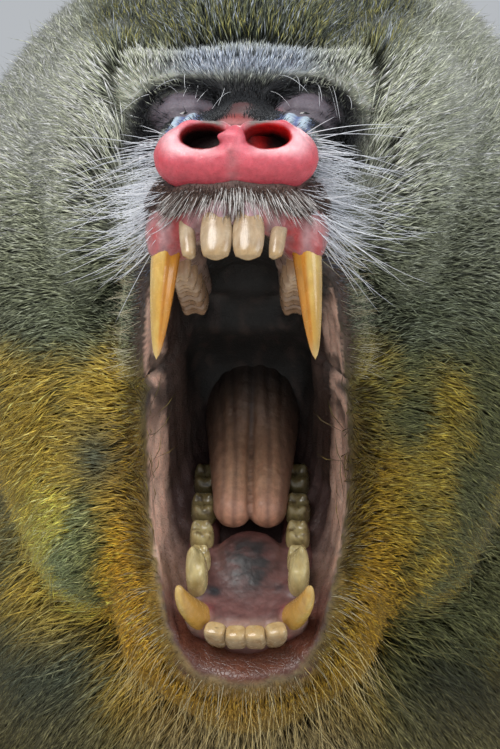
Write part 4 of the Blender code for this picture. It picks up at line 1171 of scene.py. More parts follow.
upper, under = [], []
for s in (1, -1):
    upper.append((crown(skull, (s * 6.5 - 0.9, 163.0), (6.5, 3.9), -31, -50.6, [(0, 0, -2.8, 5.0, 3)], lean=(-s * 0.1, 4.6), turned=0.0, squareness=2.0), 0))
    upper.append((crown(skull, (s * 19.4 - 0.9, 157.0), (3.3, 3.2), -30, -50.4, [(-s * 0.6, 0, -1.8, 2.2, 2)], lean=(-s * 4.4, 6.0), turned=-s * 0.35, squareness=2.2), 0))
    for x, f, half, high in ((23.4, 129, (4.2, 4.8), -50.5), (22.2, 117, (5.2, 5.2), -50.5), (21.7, 103.5, (6.0, 6.6), -49.5), (21.2, 89.5, (6.2, 6.9), -49.5), (20.8, 75, (6.2, 6.9), -49)):
        cusps = [(a, b, -h * 0.8, wx, wf) for a, b, h, wx, wf in cusps_for(half)]
        upper.append((crown(skull, (s * x, f), half, -38, high + 1.5, cusps), 2))
    upper.append((fang(skull, [(27.0, 147.5, -34, 6.0, 7.2), (28.3, 148.6, -44, 6.0, 7.4), (29.6, 147.8, -58, 5.1, 6.4), (30.9, 145.5, -74, 3.5, 4.4), (32.0, 142.6, -87.5, 1.2, 1.6)], s, 0.2), 1))
    under.append((crown(jaw, (s * 3.95, 155.2), (4.75, 4.4), -62, -47.2, [(0, 1.2, 0.9, 3, 2)], lean=(0.0, 4.6), squareness=3.4), 0))
    under.append((crown(jaw, (s * 11.6, 153.8), (4.9, 4.4), -62, -47.0, [(0, 1.2, 0.8, 3, 2)], lean=(s * 0.2, 4.6), turned=-s * 0.24, squareness=3.0), 0))
    under.append((crown(jaw, (s * 20.9, 127.5), (4.6, 8.8), -62, -44.0, [(s * 1.0, -1.6, 8.0, 2.6, 4.6)], lean=(s * 0.9, -1.6)), 3))
    for x, f, half, high in ((20.6, 116, (4.6, 6.4), -51.5), (20.3, 102.5, (5.2, 6.5), -51.8), (20, 88, (5.5, 7.0), -51.8), (19.5, 72.5, (5.5, 7.6), -51.8)):
        under.append((crown(jaw, (s * x, f), half, -63, high, cusps_for(half, 1.0)), 3))
    under.append((fang(jaw, [(17.4, 145.6, -60, 5.9, 6.7), (20.3, 148.6, -50, 5.8, 6.6), (23.9, 150.8, -41, 4.5, 5.2), (26.2, 151.6, -33.5, 2.9, 3.4), (27.4, 151.2, -27.5, 1.1, 1.3)], s, 0.1), 1))


def tooth_tint(points, share, kind, normals, name):
    x, f, u = local(points, name)
    s = np.sign(x)
    low, high = ((0.44, 0.33, 0.19), (0.63, 0.56, 0.40)) if name == "H" else ((0.50, 0.36, 0.19), (0.66, 0.59, 0.41))
    c = mix(low, high, 0.5 + 0.5 * ripple(points, 6, 81))
    c = mix(c, (0.62, 0.44, 0.17), smooth(0.82, 1.0, share) * (kind == 0) * 0.5)
    c = mix(c, (0.60, 0.40, 0.16), smooth(0.30, 0.05, share) * (kind == 0) * 0.6)
    ochre = mix((0.62, 0.35, 0.065), (0.70, 0.47, 0.13), smooth(-0.4, 0.8, ripple(points * (1, 1, 0.5), 9, 83)))
    inward = -normals[:, 0] * s
    deep = (0.62, 0.235, 0.020) if name == "H" else (0.50, 0.27, 0.060)
    ochre = mix(ochre, deep, smooth(0.05, 0.75, inward) * 0.92)
    # painted highlight: the canines' outward faces are paler; painted shade: the upper canine on the animal's left (+x)
    # is darker
    ochre = mix(ochre, (0.60, 0.44, 0.17), smooth(0.1, 0.8, -inward) * 0.3) * mix(1.0, 0.86, smooth(-5, 5, x) * (name == "H"))
    ochre = mix(ochre, (0.68, 0.50, 0.20), smooth(0.86, 1.0, share) * 0.6)
    ochre = mix(ochre, (0.46, 0.19, 0.05), smooth(0.14, 0.0, share) * 0.6)
    c = c * ((0.84, 0.74, 0.70) if name == "H" else (0.86, 0.78, 0.72))
    c = np.where((kind == 1)[:, None], ochre, c)
    shelf = mix((0.46, 0.30, 0.17), (0.56, 0.39, 0.24), 0.5 + 0.5 * ripple(points, 5, 85))
    # painted shade: the upper cheek teeth darken toward the back of the mouth
    shelf = mix(shelf, (0.16, 0.085, 0.05), smooth(140, 80, f) * 0.7)
    c = np.where((kind == 2)[:, None], shelf, c)
    cheek = mix((0.50, 0.38, 0.15), (0.66, 0.55, 0.27), 0.5 + 0.5 * ripple(points, 5, 87))
    stain = smooth(0.1, 0.6, ripple(points, 4.5, 89)) * smooth(0.6, 1.0, share)
    cheek = mix(cheek, (0.13, 0.08, 0.035), stain * (0.75 - 0.5 * smooth(112, 120, f)))
    cheek = mix(cheek, (0.22, 0.14, 0.07), smooth(0.35, 0.05, share) * 0.7)
    # painted shade: the lower cheek teeth darken toward the back of the mouth
    cheek = mix(cheek, cheek * 0.22, smooth(116, 76, f))
    c = np.where((kind == 3)[:, None], cheek, c)
    return np.clip(c, 0, 1)


def tooth_finish(name):
    f = Finish(name, Roughness=0.2, Coat_Weight=0.3, Coat_Roughness=0.1, Specular_IOR_Level=0.55)
    streaks = f.noise(260, 5.0, stretch=(1.6, 1.6, 0.5))
    f.base(f.blend("MULTIPLY", 1.0, f.attribute("Tint").outputs["Color"], f.range(streaks, 0.3, 0.7, 0.82, 1.13)))
    f.link(f.range(f.noise(500, 3.0), 0.3, 0.7, 0.14, 0.32), f.shader.inputs["Roughness"])
    f.bump(f.noise(300, 4.0, stretch=(1.8, 1.8, 0.4)), 0.18, 0.0007)
    f.shader.inputs["Subsurface Weight"].default_value = 0.1
    f.shader.inputs["Subsurface Scale"].default_value = 0.0015
    f.shader.inputs["Subsurface Radius"].default_value = (1.0, 0.7, 0.45)
    return f


for name, parts, frame_name, node in (("teeth_upper", upper, "H", "upper_teeth"), ("teeth_lower", under, "J", "lower_teeth")):
    parts = [(outward(part, None), k) for part, k in parts]
    points, faces, share, kind = join(parts)
    obj = mesh(name, points, faces)
    normals = np.empty(len(points) * 3, np.float32)
    obj.data.vertices.foreach_get("normal", normals)
    layer = obj.data.attributes.new("Tint", "FLOAT_COLOR", "POINT")
    colours = tooth_tint(points, share, kind, normals.reshape(-1, 3), frame_name)
    layer.data.foreach_set("color", np.concatenate([colours, np.ones((len(points), 1))], 1).astype(np.float32).ravel())
    show(obj, tooth_finish(name), "teeth", node)

TONGUE = [
    ("c", "J", (9.5, 24, -45), 12.5, (7.2, 91, -51), 8.3, 0, 0, 5),
    ("e", "J", (0, 24, -46), (19, 32, 21), 0, 0, 10),
]


def tongue_field(p):
    return union(mirrored(p), TONGUE, True)


def tongue_relief(p, n):
    jx, jf, ju = local(p, "J")
    top = smooth(0.0, 0.6, n @ heading("J", 0, 0, 1))
    w = jx * (1 + 0.004 * (jf - 60)) + 1.1 * np.sin(jf / 17) + 0.8 * ripple(p, 26, 91)
    ridges = -0.55 * np.exp(-((np.abs(w) - 7.2) / 1.1) ** 2) - 0.45 * np.exp(-((np.abs(w) - 12.4) / 1.0) ** 2)
    groove = -1.1 * np.exp(-((jx + 0.5 * np.sin(jf / 9)) / 1.5) ** 2)
    return top * (ridges * smooth(100, 84, jf) + groove) + 0.16 * ripple(p, 6, 93)


def tongue_colour(p, n):
    jx, jf, ju = local(p, "J")
    c = mix((0.50, 0.275, 0.165), (0.64, 0.38, 0.24), 0.5 + 0.5 * ripple(p * (1, 1, 0.6), 10, 95))
    c = mix(c, (0.58, 0.30, 0.20), smooth(80, 100, jf))
    w = jx + 1.1 * np.sin(jf / 17)
    # painted shade in the tongue's grooves: dark lines along the middle groove and the two furrows each side
    lines = np.exp(-(jx / 1.5) ** 2) + 0.7 * np.exp(-((np.abs(w) - 7.2) / 1.1) ** 2) + 0.6 * np.exp(-((np.abs(w) - 12.4) / 1.1) ** 2)
    c = mix(c, (0.10, 0.05, 0.04), np.clip(lines, 0, 1) * 0.75)
    c = mix(c, (0.15, 0.08, 0.06), smooth(9, 17, np.abs(jx)) * 0.7)
    # painted shade: the tongue goes near black toward its root in the throat
    return mix(c, (0.012, 0.009, 0.008), smooth(88, 34, jf) * 0.985)


box = (-26, jaw((0, 110, -60))[1] - 10, jaw((0, 110, -70))[2] - 6), (26, jaw((0, -8, -60))[1] + 22, jaw((0, 0, -40))[2] + 22)
tongue_look = wet_finish("tongue", 0.42, 700, 0.08)
tone_mesh("tongue_flesh", tongue_field, box, 1.1, tongue_colour, tongue_look, "tongue_skin", ("tongue",), tongue_relief)

# ---------------------------------------------------------------- nails

nail_tips = []
for s in (1, -1):
    a, h = STRIDE[s]
    nail_tips += [(s * 101 + dx * 1.33, 190 + a + reach, 6.0, 6.5) for dx, reach in HAND_TIPS]
    nail_tips += [(s * 94 + dx * 1.33, -186 + h + reach, 6.5, 7.0) for dx, reach in FOOT_TIPS]
    nail_tips += [(s * 68, 196 + a, 7.0, 7.0), (s * 52, -174 + h, 6.5, 7.5)]
rows, columns = 9, 9
v, w = np.meshgrid(np.linspace(0, 1, rows), np.linspace(-1, 1, columns), indexing="ij")
v, w = v.ravel(), w.ravel()
points, faces = [], []
for x, front, z, r in nail_tips:
    at = len(points) * rows * columns
    for lift in (0.0, -0.9):
        width = r * 0.80 * (1 - 0.28 * v**3)
        along = -5.5 + 12.5 * v - 1.8 * w * w * v
        # the nail follows the round fingertip down
        rise = r * 0.97 * np.cos(w * 1.0) - 0.085 * np.maximum(0.0, along - 0.5) ** 2 * 0.9 + lift + 0.35
        points.append(np.stack([x + width * np.sin(w * 1.0) * 1.12, SHIFT - front - along, z + rise], 1))
    n = rows * columns
    for i in range(rows - 1):
        for j in range(columns - 1):
            q = at + i * columns + j
            faces += [(q, q + columns, q + columns + 1, q + 1), (q + n, q + n + 1, q + n + columns + 1, q + n + columns)]
    edge = [(0, j) for j in range(columns)] + [(i, columns - 1) for i in range(1, rows)]
    edge += [(rows - 1, j) for j in range(columns - 2, -1, -1)] + [(i, 0) for i in range(rows - 2, 0, -1)]
    ids = [at + i * columns + j for i, j in edge]
    faces += [(a, b, b + n, a + n) for a, b in zip(ids, ids[1:] + ids[:1])]
nail = mesh("nails", np.concatenate(points), np.array(faces))
f = Finish("nail", Roughness=0.38)
f.base(f.blend("MIX", f.range(f.noise(160, 4.0), 0.35, 0.65, 0, 1), (0.028, 0.022, 0.020), (0.075, 0.058, 0.048)))
f.bump(f.noise(900, 2.0, stretch=(1.0, 0.12, 1.0)), 0.3, 0.0004)
show(nail, f, "bare_skin")

# ---------------------------------------------------------------- coat

triangles = np.stack([skin_faces[:, [0, 1, 2]], skin_faces[:, [0, 2, 3]]], 1).reshape(-1, 3)
corner = skin_points[triangles]
area = np.linalg.norm(np.cross(corner[:, 1] - corner[:, 0], corner[:, 2] - corner[:, 0]), axis=1) / 2
raw = np.empty(len(skin_points) * 3, np.float32)
skin.data.vertices.foreach_get("normal", raw)
skin_masks.update(depth=-spread(outline, skin_points), normal=unit(raw.reshape(-1, 3).astype(float)), point=skin_points)
NOSE_TIP, LIP = skull((0, 160, -12)), jaw((0, 138, -62))


def bare(k):
    """Where no hair grows."""
    return np.clip(
        smooth(0.05, 0.5, k["inner"]) + smooth(0.4, 0.9, k["nose"]) + k["ridge"] * 1.3 + k["bridge"] * 1.2
        + smooth(0.3, 0.9, k["lid"]) * 0.8 + smooth(0.25, 0.7, k["lip_low"]) + smooth(0.2, 0.6, k["rump"]) + k["sole"] * 1.5,
        0, 1,
    )


def gather(k, t, b):
    """The named values at points inside triangles."""
    out = {}
    for key, values in k.items():
        v = np.asarray(values, float)[triangles[t]]
        out[key] = np.einsum("ij,ij...->i...", b, v)
    out["normal"] = unit(out["normal"])
    return out


def scatter(weight, count, seed):
    g = np.random.default_rng(seed)
    share = np.cumsum(weight)
    t = np.searchsorted(share, (np.arange(count) + g.random(count)) / count * share[-1] * 0.999999)
    a, b = np.sqrt(g.random(count)), g.random(count)
    return gather(skin_masks, t, np.stack([1 - a, a * (1 - b), a * b], 1))


def tangent(v, n):
    return unit(v - (v * n).sum(-1, keepdims=True) * n)


def toward(d, goal, share):
    return d + (np.asarray(goal) - d) * share[:, None]


def lie(k):
    """Which way the coat lies: away from nose and mouth, back over the trunk, down the limbs."""
    p, n, forward = k["point"], k["normal"], k["forward"]
    x, z = p[:, 0], p[:, 2]
    side, none = np.sign(x), 0 * x
    run = LIP - NOSE_TIP
    t = np.clip(((p - NOSE_TIP) @ run) / (run @ run), 0, 1)
    away = unit(p - (NOSE_TIP + t[:, None] * run))
    fall = smooth(38, 100, np.abs(x)) * smooth(740, 650, z) * 1.1 + smooth(600, 540, z) * 0.25
    face = unit(away + fall[:, None] * np.array([0.0, 0.15, -1.0]))
    lip = smooth(140, 150, k["hf"]) * smooth(-13, -17, k["hu"])
    face = toward(face, np.stack([x / 45, none - 0.35, none - 1], 1), lip)
    d = np.stack([side * 0.05, none + 1, none - 0.5], 1)
    d = toward(d, np.stack([side * 0.15, none + 0.75, none - 0.65], 1), smooth(120, 200, forward) * smooth(430, 500, z))
    d = toward(d, np.stack([side * 0.05, none + 0.22, none - 1], 1), smooth(400, 310, z))
    d = toward(d, np.stack([none, none - 1, none - 0.35], 1), smooth(62, 36, z))
    tail = smooth(-300, -318, forward) * smooth(488, 506, z) * smooth(44, 30, np.abs(x))
    d = toward(d, (0, 0.35, 0.93), tail)
    ring = smooth(-268, -296, forward) * smooth(330, 380, z) * (1 - tail)
    d = toward(d, unit(np.stack([x, none + 12, z - 452], 1)), ring)
    d = toward(unit(d), face, smooth(245, 300, forward) * smooth(480, 530, z))
    return tangent(unit(d), n)


def pick(g, n, choices):
    """A random colour of a few for each hair."""
    table = np.array([c for c, _ in choices])
    chance = np.cumsum([w for _, w in choices])
    return table[np.searchsorted(chance / chance[-1], g.random(n))]


def coat_colours(k, end, seed):
    """Colours near the root and near the tip of each hair, by where the tip shows."""
    g = np.random.default_rng(seed)
    n, count = k["normal"], len(end)
    x, z, forward = end[:, 0], end[:, 2], SHIFT - end[:, 1]
    hx, hf, hu = local(end, "H")
    ax = np.abs(x)
    soft = 8 * ripple(end, 52, 101) + 4 * ripple(end, 17, 103)
    west, east = smooth(8, -30, x), smooth(-8, 30, x)
    # trunk, limbs and mane: olive brown, the hairs ringed dark and yellow
    root = np.tile([0.034, 0.030, 0.022], (count, 1))
    tip = mix((0.27, 0.235, 0.095), (0.38, 0.34, 0.15), g.random(count))
    tip = mix(tip, (0.16, 0.14, 0.08), smooth(330, 240, z))
    tip = mix(tip, (0.045, 0.038, 0.032), smooth(130, 60, z))
    root = mix(root, (0.016, 0.014, 0.013), smooth(150, 70, z))
    belly = smooth(-0.35, -0.8, n[:, 2]) * smooth(290, 330, z) * smooth(200, 120, forward)
    tip = mix(tip, (0.60, 0.54, 0.40), belly)
    root = mix(root, (0.16, 0.14, 0.11), belly)
    breast = smooth(0.1, -0.5, n[:, 1]) * smooth(340, 400, z) * smooth(560, 500, z) * smooth(70, 30, ax) * smooth(120, 190, forward)
    tip = mix(tip, (0.58, 0.47, 0.24), breast)
    ring = smooth(-270, -292, forward) * smooth(340, 390, z)
    tip = mix(tip, (0.36, 0.38, 0.42), ring * 0.75)
    thigh = smooth(-180, -260, forward) * smooth(460, 400, z) * smooth(260, 330, z) * smooth(40, 70, ax)
    tip = mix(tip, (0.40, 0.36, 0.30), thigh * 0.5)
    # head: speckled grey olive, palest high on the sides
    head = smooth(235, 290, forward) * smooth(470, 520, z)
    agouti = pick(g, count, [((0.46, 0.47, 0.36), 3), ((0.34, 0.35, 0.25), 3), ((0.62, 0.63, 0.54), 1.5), ((0.17, 0.18, 0.13), 1.5)])
    high = smooth(684, 742, z + soft)
    # painted light and shade: the head's coat is a little lighter on the animal's right (-x), toward the key lamp, and
    # darker on its left
    h_tip = mix(agouti * (0.83, 0.87, 0.74), agouti * (2.00, 2.03, 2.10), high) * mix(1.09, 0.92, smooth(-40, 40, x))
    h_tip = mix(h_tip, h_tip * (0.74, 0.79, 0.74), smooth(690, 655, z + soft))
    h_root = mix((0.050, 0.054, 0.036), (0.19, 0.197, 0.16), high)
    crown = smooth(779, 792, z + soft * 0.3) * smooth(88, 62, ax)
    yellow = pick(g, count, [((0.36, 0.34, 0.11), 3), ((0.20, 0.22, 0.12), 3), ((0.06, 0.07, 0.055), 3), ((0.40, 0.44, 0.47), 1.7)])
    h_tip = mix(h_tip, yellow, crown)
    h_root = mix(h_root, (0.022, 0.028, 0.020), crown)
    # painted shadow in the furrow between the crown's long hair and the brow fuzz
    furrow_shade = hump(ax, 26, 12) * hump(z, 786, 9)
    h_tip = mix(h_tip, h_tip * 0.25, furrow_shade)
    # yellow ochre low on the cheeks, more orange toward the mouth, mossy between and outside
    low = smooth(672, 640, z + soft * 0.8)
    ochre = pick(g, count, [((0.74, 0.545, 0.092), 3), ((0.61, 0.43, 0.068), 3), ((0.84, 0.70, 0.22), 1.0), ((0.38, 0.265, 0.060), 1.0)])
    moss = pick(g, count, [((0.31, 0.305, 0.135), 3), ((0.22, 0.225, 0.095), 3), ((0.43, 0.41, 0.20), 1.2), ((0.13, 0.14, 0.065), 1)])
    patches = smooth(-0.35, 0.45, ripple(end, 58, 107) + 0.55 * hump(ax, 52, 26) + 0.75 * hump(ax, 96, 30) * west - 0.3 * east * smooth(58, 80, ax))
    patches = np.maximum(patches, smooth(66, 50, ax) * 0.92)
    h_tip = mix(h_tip, mix(moss, ochre, patches), low)
    h_root = mix(h_root, mix((0.085, 0.085, 0.040), (0.33, 0.225, 0.048), patches), low)
    warm = smooth(78, 50, ax + soft * 0.3) * smooth(640, 610, z)
    h_tip = mix(h_tip, h_tip * (1.02, 0.86, 0.55), warm)
    h_root = mix(h_root, h_root * (1.0, 0.84, 0.55), warm)
    pale = west * hump(ax, 84, 28) * hump(z, 572, 44)
    h_tip = mix(h_tip, h_tip * (1.8, 2.1, 2.3), pale)
    h_root = mix(h_root, h_root * (1.5, 1.7, 1.8), pale)
    # painted shade: low on the cheeks the tips are darker on the animal's left (+x), away from the key lamp
    h_tip = mix(h_tip, h_tip * (0.66, 0.70, 0.58), east * low * 0.75)
    rust = hump(ax, 62, 26) * smooth(610, 560, z) * smooth(505, 540, z)
    h_tip = mix(h_tip, h_tip * (1.20, 1.04, 0.62), rust)
    # the lower outer corners: dark grey-green hair with painted shade on it, the tips darkest on the animal's left
    # (+x), away from the key lamp
    corner_ = smooth(60, 88, ax + soft * 0.4) * smooth(550, 515, z + 12 * east + soft * 0.5)
    dark_hair_and_shade = pick(g, count, [((0.15, 0.175, 0.112), 3), ((0.080, 0.10, 0.068), 3), ((0.25, 0.265, 0.16), 1.2)])
    h_tip = mix(h_tip, dark_hair_and_shade * (1.25 - 0.90 * east[:, None]), corner_)
    h_root = mix(h_root, (0.020, 0.024, 0.018), corner_)
    # painted shade: the roots there are darker on the animal's left too
    h_root = mix(h_root, h_root * 0.55, east * low)
    streak = hump(ax, 67, 17) * hump(z, 613, 26) * west
    h_tip = mix(h_tip, (0.16, 0.175, 0.115), streak)
    h_root = mix(h_root, (0.055, 0.060, 0.040), streak)
    chin = smooth(545, 515, z) * smooth(58, 36, ax)
    h_tip = mix(h_tip, h_tip * (0.86, 0.78, 0.50), chin)
    # painted light: lighter roots in the shadowed crease at the ends of the brow
    fold = hump(ax, 52, 15) * smooth(46, 60, hf) * smooth(0, 14, hu)
    h_root = mix(h_root, h_tip * 0.5, fold * 0.85)
    beside = hump(ax, 49, 17) * hump(hu, 0, 27) * smooth(58, 72, hf)
    h_tip = mix(h_tip, h_tip * (0.52, 0.52, 0.58), beside)
    # the face: pale fuzz over a black brow, grey beside the nose, a brown upper lip
    face = smooth(58, 70, hf)
    fuzz = smooth(46, 54, hu) * smooth(73, 59, hu) * face * smooth(46, 20, np.abs(hx))
    frost = pick(g, count, [((0.62, 0.69, 0.82), 3), ((0.80, 0.85, 0.93), 1.5), ((0.36, 0.41, 0.50), 1.8)])
    h_tip = mix(h_tip, frost, fuzz * (0.45 + 0.55 * smooth(44, 18, np.abs(hx))))
    h_root = mix(h_root, (0.27, 0.30, 0.355), fuzz * smooth(60, 20, np.abs(hx)))
    wide = np.interp(hu, (4, 12, 22, 32, 40, 46, 52), (38, 50, 55, 52, 44, 35, 24)) + 3 * ripple(end, 11, 105)
    black = smooth(52, 45, hu + 1.5 * ripple(end, 7, 109)) * smooth(2, 12, hu) * smooth(62, 74, hf) * smooth(wide + 7, wide - 9, np.abs(hx))
    black = np.maximum(black, smooth(17, 12, np.abs(hx)) * smooth(96, 104, hf) * smooth(4, 8, hu))
    h_tip = mix(h_tip, (0.030, 0.032, 0.036), black)
    h_root = mix(h_root, (0.008, 0.008, 0.009), black)
    side = smooth(92, 106, hf) * smooth(22, 12, hu)
    grey = pick(g, count, [((0.60, 0.63, 0.68), 3), ((0.36, 0.38, 0.42), 2), ((0.12, 0.12, 0.13), 1.4)])
    h_tip = mix(h_tip, grey, side * smooth(46, 38, ax) * (1 - black))
    lip = smooth(-12, -17, hu) * smooth(128, 142, hf)
    brown = pick(g, count, [((0.12, 0.070, 0.052), 4), ((0.22, 0.15, 0.12), 2), ((0.55, 0.52, 0.50), 0.5)])
    h_tip = mix(h_tip, brown, lip)
    h_root = mix(h_root, (0.040, 0.022, 0.018), lip)
    # painted shadow along the mouth's margin: the hairs are darkened at the sides and their roots all along; near the
    # middle they turn brown, the lip hair's own colour
    edge = smooth(6, 2.2, k["m"]) * smooth(-46, -10, k["inward"]) * smooth(-14, -30, hu)
    sides = smooth(20, 33, ax)
    h_tip = mix(h_tip, h_tip * (0.34, 0.38, 0.5), edge * sides)
    h_tip = mix(h_tip, (0.27, 0.20, 0.12), edge * (1 - sides) * 0.85)
    h_root = mix(h_root, (0.085, 0.062, 0.036), edge * 0.8)
    root, tip = mix(root, h_root, head), mix(tip, h_tip, head)
    tip, root = mix(tip, (0.25, 0.19, 0.12), k["ear"]), mix(root, (0.10, 0.06, 0.045), k["ear"])
    vary = np.exp(g.normal(0, 0.12, (count, 1)))
    return np.clip(root * vary, 0.002, 0.95), np.clip(tip * vary * 1.10, 0.004, 0.95)


def coat_finish():
    f = Finish("coat", Roughness=0.55, Specular_IOR_Level=0.3)
    band = f.node("ShaderNodeValToRGB")
    stops = band.color_ramp.elements
    stops[0].position, stops[0].color = 0.40, (0, 0, 0, 1)
    stops[1].position, stops[1].color = 0.66, (1, 1, 1, 1)
    for at, v in ((0.88, 1.0), (1.0, 0.30)):
        stop = stops.new(at)
        stop.position, stop.color = at, (v, v, v, 1)
    f.link(f.attribute("Along").outputs["Fac"], band.inputs["Fac"])
    ring = f.range(f.math("SINE", f.attribute("Ring").outputs["Fac"]), -0.7, 0.7, 0.42, 1.0)
    shown = f.math("MULTIPLY", band.outputs["Color"], ring)
    f.base(f.blend("MIX", shown, f.attribute("Root").outputs["Color"], f.attribute("Tip").outputs["Color"]))
    return f


HAIR_FACES = np.array([(1, 2, 0), (2, 3, 0), (3, 1, 0), (2, 1, 4), (3, 2, 4), (1, 3, 4)])
HAIR_UV = 0.003 * np.array([(0.5, 0), (0, 0.55), (1, 0.55), (0.5, 0.78), (0.5, 1)])


def rank(v):
    out = np.empty(len(v))
    out[np.argsort(v, kind="stable")] = (np.arange(len(v)) + 0.5) / len(v)
    return 0.012 + 0.972 * out


def unwrapped(p, centre):
    """Round the form and up it, spread evenly over the square."""
    return np.stack([rank(np.arctan2(p[:, 0] - centre[0], centre[1] - p[:, 1])), rank(p[:, 2] + 0.02 * p[:, 1])], 1)


def with_map(obj, faces, where):
    layer = obj.data.uv_layers.new(name="OFBake")
    layer.data.foreach_set("uv", where[faces.ravel()].astype(np.float32).ravel())
    return obj


def hair_mesh(name, base, swell, tip, width, normal, root_tint, tip_tint, uv, reach, ring):
    """Bent three-sided tufts, thin at the root and the tip."""
    n = len(base)
    to = unit(tip - base)
    side = unit(np.cross(normal, to))
    top = unit(np.cross(to, side))
    w = width[:, None]
    rows = [base, swell + side * w * 0.5, swell - side * w * 0.5, swell + top * w * 0.42, tip]
    faces = (np.arange(n)[:, None, None] * 5 + HAIR_FACES[None]).reshape(-1, 3)
    share = np.array([0, SWELL, SWELL, SWELL, 1.0])[None]
    along = (share * reach[:, None]).ravel()
    long = np.linalg.norm(swell - base, axis=1) + np.linalg.norm(tip - swell, axis=1)
    turns = (share * (long * 2 * math.pi / ring)[:, None] + 40 * reach[:, None]).ravel()
    colours = [("Root", np.repeat(root_tint, 5, 0)), ("Tip", np.repeat(tip_tint, 5, 0)), ("Along", along), ("Ring", turns)]
    obj = mesh(name, np.stack(rows, 1).reshape(-1, 3), faces, colours)
    return with_map(obj, faces, (uv[:, None, :] + HAIR_UV[None]).reshape(-1, 2))


def locks(p, size, seed):
    """The middle of each hair's lock."""
    g = np.random.default_rng(seed)
    cell = np.floor(p / size + 0.35 * np.stack([ripple(p, size * 2.3, seed + m) for m in range(3)], 1) + g.random(3)).astype(np.int64)
    _, which = np.unique(cell, axis=0, return_inverse=True)
    which = which.ravel()
    count = np.bincount(which).astype(float)
    return np.stack([np.bincount(which, p[:, m]) / count for m in range(3)], 1)[which]


SWELL = 0.64


def comb(k, seed, size, pull, stray, length, fullness=0.88):
    """Root, widest place and tip of each hair."""
    g = np.random.default_rng(seed)
    p, n, z = k["point"], k["normal"], k["point"][:, 2]
    count = len(p)
    lay = lie(k)
    across = np.cross(n, lay)
    wave = 0.18 * ripple(p, 34, seed + 1) + 0.14 * ripple(p, 12, seed + 2) + math.radians(stray) * g.normal(size=count)
    lay = unit(lay * np.cos(wave)[:, None] + across * np.sin(wave)[:, None])
    depth = np.clip(k["depth"], 0.7, None)
    # the hair stands fuller high on the head, most on its left
    corner_ = smooth(36, 64, np.abs(p[:, 0])) * smooth(700, 742, z) * smooth(205, 240, k["forward"])
    depth = depth + corner_ * np.where(p[:, 0] > 0, 19, 14) + 3.0 * smooth(762, 782, z) * smooth(215, 250, k["forward"])
    # and it closes the folds at the ends of the brow and behind the muzzle
    depth = depth + 4.5 * hump(k["ax"], 54, 13) * smooth(56, 64, k["hf"]) * smooth(104, 92, k["hf"]) * smooth(-6, 6, k["hu"])
    a, b, least, most = length
    long = np.clip(a * depth + b, least, most) * np.exp(g.normal(0, 0.15, count))
    lift = np.arcsin(np.clip(fullness * depth / long, 0.06, 0.92)) * (1 + 0.12 * g.normal(size=count))
    wild = g.random(count) < 0.02
    lift = np.where(wild, lift * 1.3 + 0.1, lift)
    l0, l1 = np.clip(lift * 1.40, 0.05, 1.4)[:, None], np.clip(lift * 0.60, -0.1, 1.3)[:, None]
    half = (long * 0.5)[:, None]
    middle = p + (lay * np.cos(l0) + n * np.sin(l0)) * half
    tip = middle + (lay * np.cos(l1) + n * np.sin(l1)) * half
    tip[:, 2] -= 0.06 * long * smooth(14, 50, long)
    gathered = locks(p, size, seed + 7) - p
    gathered -= (gathered * n).sum(1, keepdims=True) * n
    middle += gathered * pull * 0.4
    tip += gathered * pull * (0.75 + 0.5 * g.random((count, 1)))
    return p - n * 0.4, middle + (tip - middle) * (2 * SWELL - 1), tip


coat_look = coat_finish()
centre = {key: np.asarray(v, float)[triangles].mean(1) for key, v in skin_masks.items()}
centre["normal"] = unit(centre["normal"])
open_skin = (1 - bare(centre)) * (1 - 0.75 * centre["ear"])


def grow(name, where, count, seed, size, pull, width, length, stray=10.0, band=(0.90, 1.24), ring=5.0):
    """Covers a part of the skin with tufts."""
    g = np.random.default_rng(seed)
    thick = np.clip(0.55 + centre["depth"] / 12, 0.72, 1.0)
    typical = np.clip(length[0] * centre["depth"] + length[1], length[2], min(26, length[3]))
    weight = open_skin * where * area / (thick * typical)
    k = scatter(weight, count, seed)
    order = np.argsort(k["point"][:, 2] * 0.999, kind="stable")
    k = {key: v[order] for key, v in k.items()}
    base, swell, tip = comb(k, seed + 1, size, pull, stray, length)
    root_tint, tip_tint = coat_colours(k, tip, seed + 2)
    w = width * np.clip(0.55 + k["depth"] / 12, 0.72, 1.0) * np.exp(g.normal(0, 0.15, count))
    reach = g.uniform(*band, count)
    pieces = math.ceil(count * 6 / 190000)
    for i in range(pieces):
        part = slice(i * count // pieces, (i + 1) * count // pieces)
        p = k["point"][part]
        label = name if pieces == 1 else f"{name}_{i + 1}"
        obj = hair_mesh(label, base[part], swell[part], tip[part], w[part], k["normal"][part], root_tint[part], tip_tint[part], unwrapped(p, p.mean(0)), reach[part], ring)
        show(obj, coat_look, "coat")


tall, forward, across = centre["point"][:, 2], centre["forward"], centre["point"][:, 0]
seen = (centre["normal"][:, 1] < 0.5) & (tall > 498) & (forward > 236) & (np.abs(across) < 132)
on_face = (centre["depth"] < 3.6) | ((centre["hf"] > 72) & (centre["hu"] > -20) & (np.abs(centre["hx"]) < 50))
zones = {"coat_face": seen & on_face, "coat_sides": seen & ~on_face & (tall > 652), "coat_beard": seen & ~on_face & (tall <= 652)}
zones["coat_nape"] = ~seen & (forward > 205) & (tall > 470)
taken = seen | zones["coat_nape"]
zones["coat_mane"] = ~taken & (forward > 150) & (tall > 420)
taken = taken | zones["coat_mane"]
zones["coat_trunk"] = ~taken & (tall > 395)
taken = taken | zones["coat_trunk"]
for s, tag in ((1, "left"), (-1, "right")):
    zones["coat_foreleg_" + tag] = ~taken & (forward > 0) & (across * s > 0) & (tall > 60)
    zones["coat_hindleg_" + tag] = ~taken & (forward <= 0) & (across * s > 0) & (tall > 60)
zones["coat_paws"] = ~taken & (tall <= 60)

